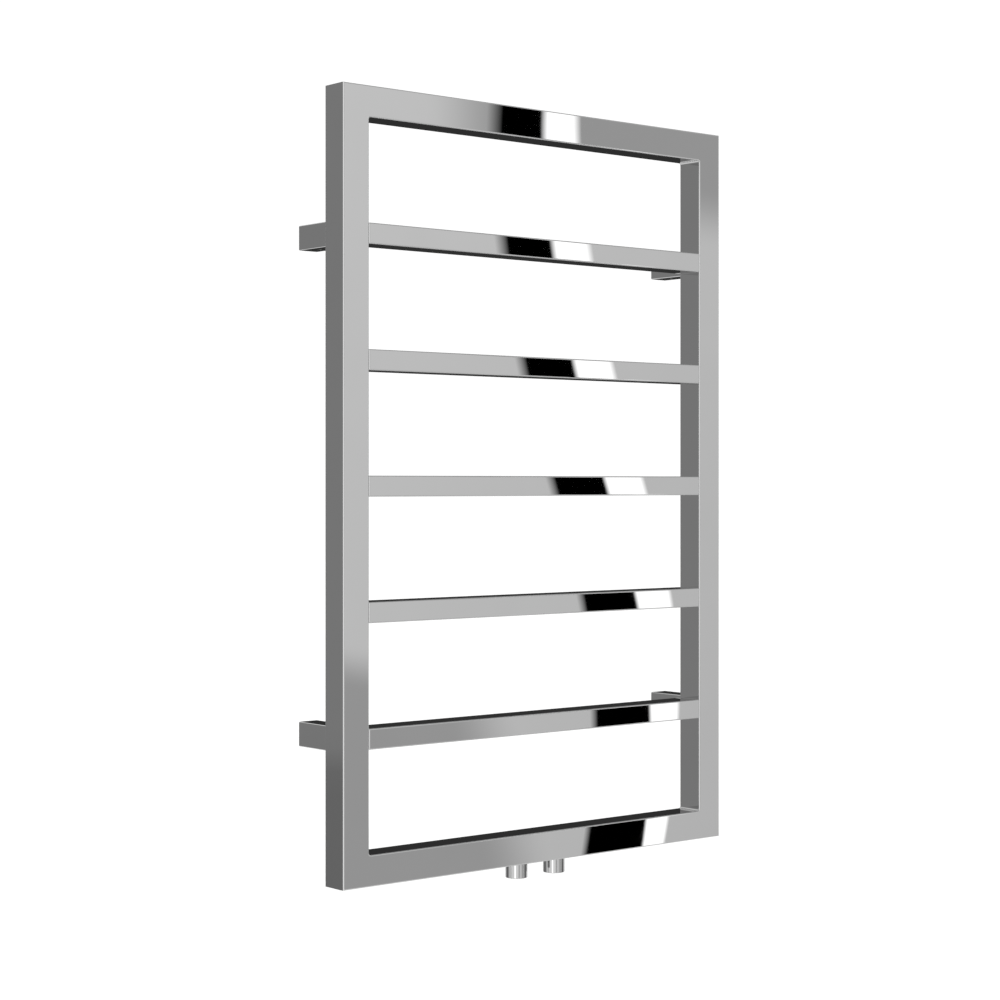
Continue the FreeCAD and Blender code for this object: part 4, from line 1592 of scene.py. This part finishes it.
@dataclass(frozen=True)
class Studio:
    """Pale floor, white surroundings, soft lamps, and the reflectors that the chrome mirrors.

    The reflectors are seen by mirrors only. A big ball of soft tones stands round everything, and
    a screen hangs where the rack's front mirrors it towards the front left.

    Attributes:
        floor_drop: how far the floor lies below the rack's lowest point, in metres.
        floor_reach: how far it stretches to each side, in metres.
        glow: brightness of the white surroundings as a light and as a backdrop.
        surroundings: the tones of the ball.
        ball: radius of the ball, in metres.
        crowding: how strongly the ball's rows crowd towards the horizon, where the detail is.
        screen: distance of the screen from the camera's mirror image, in metres.
        screen_fade: (sideways, upwards) distances at which the screen starts and ends fading.
        plain: brightness of the screen beside its light panel.
        panel_tone: brightness of the panel in its middle, and its change for each metre to the
            right and upwards.
        left_edge: the black strip's left edge.
        seam: the edge between the black and the white strip.
        right_edge: the white strip's right edge.
        strip_white: brightness of the white strip.
        strip_gap: how much nearer than the screen the strips hang, in metres.
        strip_fade: heights between which the strips fade out, in metres.
        panel_side: the panel's right edge.
        panel_top: its upper edge.
        panel_left: its left edge.
        panel_foot: its lower edge.
    """

    floor_drop: float = 2.2
    floor_reach: float = 60.0
    glow: tuple[float, float] = (1.15, 1.05)
    surroundings: Surroundings = Surroundings()
    ball: float = 12.0
    crowding: float = 1.4
    screen: float = 5.4
    screen_fade: tuple[tuple[float, float], tuple[float, float]] = ((0.6, 0.95), (1.0, 1.35))
    plain: float = 0.52
    panel_tone: tuple[float, float, float] = (0.865, -0.075, 0.05)
    left_edge: StripEdge = StripEdge(0.0818, 0.368, 0.485, 4.85, 0.10, 0.025)
    seam: StripEdge = StripEdge(0.2098, 0.404, 0.541, 5.03, 0.10, 0.012)
    right_edge: StripEdge = StripEdge(0.3095, 0.0474, 0.160, 3.16, 0.30, 0.013)
    strip_white: float = 2.0
    strip_gap: float = 0.15
    strip_fade: tuple[float, float] = (1.0, 1.15)
    panel_side: PanelEdge = PanelEdge(-0.083, 0.9, 180.0, 0.111)
    panel_top: PanelEdge = PanelEdge(0.5144, 0.6566, -100.0, 0.078)
    panel_left: PanelEdge = PanelEdge(-0.356, -0.455, 80.0, 0.055)
    panel_foot: PanelEdge = PanelEdge(-0.032, -0.623, 14.3, 0.090)

    def build(self, view: Viewpoint, lowest: float) -> None:
        """Set the studio up.

        Args:
            view: the camera's place, which the screen is hung by.
            lowest: the rack's lowest point.
        """
        self.add_world()
        self.add_floor(lowest - self.floor_drop)
        self.add_lamp("soft_lamp_left", (-2.2, -2.4, 1.8), width=1.6, power=40.0)
        self.add_lamp("soft_lamp_right", (2.4, -1.6, 1.2), width=1.2, power=15.0)
        light = self.reflector_material()
        self.add_ball(view, light)
        self.add_screen(view, light)
        self.add_strips(view, light)

    def add_world(self) -> None:
        """Plain white all round, a little brighter for lighting than for looking at."""
        world = bpy.data.worlds.new("white surroundings")
        bpy.context.scene.world = world
        world.use_nodes = True
        tree = world.node_tree
        path = add_node(tree, "ShaderNodeLightPath")
        strength = add_node(tree, "ShaderNodeMapRange", Value=path.outputs["Is Camera Ray"],
                            To_Min=self.glow[0], To_Max=self.glow[1])
        tree.nodes["Background"].inputs["Color"].default_value = (1.0, 1.0, 1.0, 1.0)
        tree.links.new(strength.outputs["Result"], tree.nodes["Background"].inputs["Strength"])

    def add_floor(self, height: float) -> None:
        """A plain pale floor, far below the hanging rack and wider than any view of it."""
        mesh = bpy.data.meshes.new("floor")
        signs = ((-1, -1), (1, -1), (1, 1), (-1, 1))
        corners = [(x * self.floor_reach, y * self.floor_reach, height) for x, y in signs]
        mesh.from_pydata(corners, [], [(0, 1, 2, 3)])
        floor = bpy.data.objects.new("floor", mesh)
        bpy.context.scene.collection.objects.link(floor)
        paint, place = blank_material("matt white floor paint", Roughness=0.85)
        speckle = add_node(paint.node_tree, "ShaderNodeTexNoise", Vector=place, Scale=60.0,
                           Detail=4.0)
        link_surface(paint, Base_Color=mix_colours(paint.node_tree, speckle.outputs["Fac"],
                                                   "#FBFBFB", "#F8F8F8"))
        mesh.materials.append(paint)
        floor.visible_glossy = False
        floor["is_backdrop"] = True

    @staticmethod
    def add_lamp(name: str, place: tuple[float, float, float], width: float, power: float) -> None:
        """A square soft lamp that faces the rack and that mirrors don't show.

        Args:
            name: the lamp's name.
            place: where it hangs.
            width: its side, in metres.
            power: its power, in watts.
        """
        data = bpy.data.lights.new(name, "AREA")
        data.shape, data.size, data.energy = "SQUARE", width, power
        lamp = bpy.data.objects.new(name, data)
        lamp.location = place
        lamp.rotation_euler = Vector(place).to_track_quat("Z", "Y").to_euler()
        lamp.visible_glossy = False
        bpy.context.scene.collection.objects.link(lamp)

    @staticmethod
    def reflector_material() -> bpy.types.Material:
        """A glowing card: it shines as brightly as its tone and is as solid as its cover.

        Returns:
            The material.
        """
        made = bpy.data.materials.new("studio reflector")
        made.use_nodes = True
        tree = made.node_tree
        tree.nodes.remove(tree.nodes["Principled BSDF"])
        tone = add_node(tree, "ShaderNodeAttribute", {"attribute_name": "tone"})
        cover = add_node(tree, "ShaderNodeAttribute", {"attribute_name": "cover"})
        glow = add_node(tree, "ShaderNodeEmission", Strength=tone.outputs["Fac"])
        clear = add_node(tree, "ShaderNodeBsdfTransparent")
        card = add_node(tree, "ShaderNodeMixShader", _0=cover.outputs["Fac"], _1=clear.outputs[0],
                        _2=glow.outputs[0])
        tree.links.new(card.outputs[0], tree.nodes["Material Output"].inputs["Surface"])
        made.cycles.emission_sampling = "NONE"
        return made

    @staticmethod
    def add_reflector(name: str, points: np.ndarray, tone: np.ndarray, cover: np.ndarray,
                      material: bpy.types.Material) -> None:
        """Make a grid of points into a card that only mirrors see.

        Args:
            name: the card's name.
            points: (rows, columns, 3) positions.
            tone: brightness at each point.
            cover: solidity at each point, 0 to 1.
            material: the reflector material.
        """
        shape = points.shape[:2]
        mesh = bpy.data.meshes.new(name)
        mesh.from_pydata(points.reshape(-1, 3).tolist(), [], grid_quads(*shape).tolist())
        for label, values in (("tone", tone), ("cover", cover)):
            layer = mesh.attributes.new(label, "FLOAT", "POINT")
            spread = np.broadcast_to(values, shape).ravel()
            layer.data.foreach_set("value", spread.astype(np.float32))
        mesh.materials.append(material)
        card = bpy.data.objects.new(name, mesh)
        bpy.context.scene.collection.objects.link(card)
        card.visible_camera = card.visible_diffuse = False
        card.visible_shadow = card.visible_transmission = False
        card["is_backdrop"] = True

    @staticmethod
    def camera_frame(view: Viewpoint) -> tuple[np.ndarray, np.ndarray]:
        """Unit vectors from the rack to the camera and to the camera's right."""
        a = math.radians(view.turn)
        back = np.array([-math.sin(a), -math.cos(a), 0.0])
        return back, np.array([math.cos(a), -math.sin(a), 0.0])

    def add_ball(self, view: Viewpoint, light: bpy.types.Material) -> None:
        """The ball of tones: ball * (cos e * (cos r * back + sin r * right) + sin e * up).

        Its rows are e = 90 * s ** crowding for even steps of s from 0 to 1, and the same below.

        Args:
            view: the camera's place.
            light: the reflector material.
        """
        back, right = self.camera_frame(view)
        step = np.linspace(-1, 1, 181)[:, None]
        rise = 90 * np.sign(step) * np.abs(step) ** self.crowding
        turn = np.linspace(-180, 180, 577)[None, :]
        e, r = np.radians(rise), np.radians(turn)
        flat = np.cos(e)[..., None] * (np.cos(r)[..., None] * back + np.sin(r)[..., None] * right)
        points = self.ball * (flat + np.sin(e)[..., None] * UP)
        tone = self.surroundings.tone(turn, rise)
        self.add_reflector("ball_of_tones", points, tone, np.array(1.0), light)

    def screen_points(self, view: Viewpoint, across: np.ndarray, up: np.ndarray,
                      nearer: float) -> np.ndarray:
        """Places on the screen that the rack's front face mirrors to the camera.

        The camera's mirror image in the plane of the rack's front looks through it at the screen,
        which is square to that look: image + distance * ahead + across * right + up, all scaled
        by the distance so that a nearer sheet covers the same part of the view.

        Args:
            view: the camera's place.
            across: places to the right, in metres on the screen.
            up: places above the camera's height, in metres on the screen.
            nearer: how much nearer than the screen, in metres.

        Returns:
            (..., 3) positions.
        """
        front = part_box("left_upright")[0][1]
        a = math.radians(view.turn)
        image = np.array([view.place[0], 2 * front - view.place[1], view.place[2]])
        ahead = np.array([math.sin(a), -math.cos(a), 0.0])
        right = np.array([math.cos(a), math.sin(a), 0.0])
        scale = 1 - nearer / self.screen
        sideways = across[..., None] * right
        sheet = self.screen * ahead + sideways + up[..., None] * UP
        return image + scale * sheet

    def add_screen(self, view: Viewpoint, light: bpy.types.Material) -> None:
        """The screen with its slanting light panel, which fades into the surroundings at its rim.

        The panel lies left of its side edge or below its top edge, and above its left edge or
        right of its foot. It is brightest at the upper left and darkens evenly away from there.

        Args:
            view: the camera's place.
            light: the reflector material.
        """
        (_, width), (_, height) = self.screen_fade
        across, up = np.meshgrid(np.linspace(-width, 1.0, 196), np.linspace(-height, height, 271))
        side, top, left, foot = (edge.cover(across, up) for edge in (
            self.panel_side, self.panel_top, self.panel_left, self.panel_foot))
        inside = np.maximum(side, top) * np.maximum(left, foot)
        middle, rightwards, upwards = self.panel_tone
        bright = middle + rightwards * across + upwards * up
        tone = self.plain + (bright - self.plain) * inside
        rim = near(across, *self.screen_fade[0]) * near(up, *self.screen_fade[1])
        points = self.screen_points(view, across, up, 0.0)
        self.add_reflector("screen_with_panel", points, tone, rim, light)

    def add_strips(self, view: Viewpoint, light: bpy.types.Material) -> None:
        """A swaying black strip and, along its right edge, a white one, both with soft edges.

        Args:
            view: the camera's place.
            light: the reflector material.
        """
        up = np.linspace(-self.strip_fade[1], self.strip_fade[1], 231)[:, None]
        across = np.concatenate([edge.across(up) + side * edge.fade(up)
                                 for edge in (self.left_edge, self.seam, self.right_edge)
                                 for side in (-0.5, 0.5)], axis=1)
        tone = self.strip_white * np.array([[0.0, 0.0, 0.0, 1.0, 1.0, 1.0]])
        cover = np.array([[0.0, 1.0, 1.0, 1.0, 1.0, 0.0]]) * near(up, *self.strip_fade)
        up = np.broadcast_to(up, across.shape)
        points = self.screen_points(view, across, up, self.strip_gap)
        self.add_reflector("swaying_strips", points, tone, cover, light)


# ---------------------------------------------------------------- scene


def main() -> None:
    """Build the rack, its fittings and the studio, with the floor set below the CAD model's lowest
    point.
    """
    logging.basicConfig(level=logging.INFO, format="%(message)s")
    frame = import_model()
    cad_box = [list(corner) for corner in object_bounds()]
    nodes = frame["nodes"]
    view = Viewpoint()
    view.build()
    rack = Rack()
    rack.build()
    for socket in ("flow_socket", "return_socket"):
        PipeSocket(socket).build()
    sleeve_chrome, zinc = buffed_chrome(Axis.Y).material(), ZINC.material()
    for level in ("upper", "lower"):
        for side in ("left", "right"):
            Bracket(f"{level}_{side}").build(sleeve_chrome, zinc)
            dress(nodes[f"{level}_{side}_boss"], rack.bare)
    dress(nodes["bracket_screws"], STAINLESS.material())
    dress(nodes["flow_divider"], rack.bare)
    AirVent().build(RubberFinish().material(), nodes)
    Studio().build(view, cad_box[0][2])
    bpy.context.scene.view_settings.view_transform = "Standard"


if __name__ == "__main__":
    main()
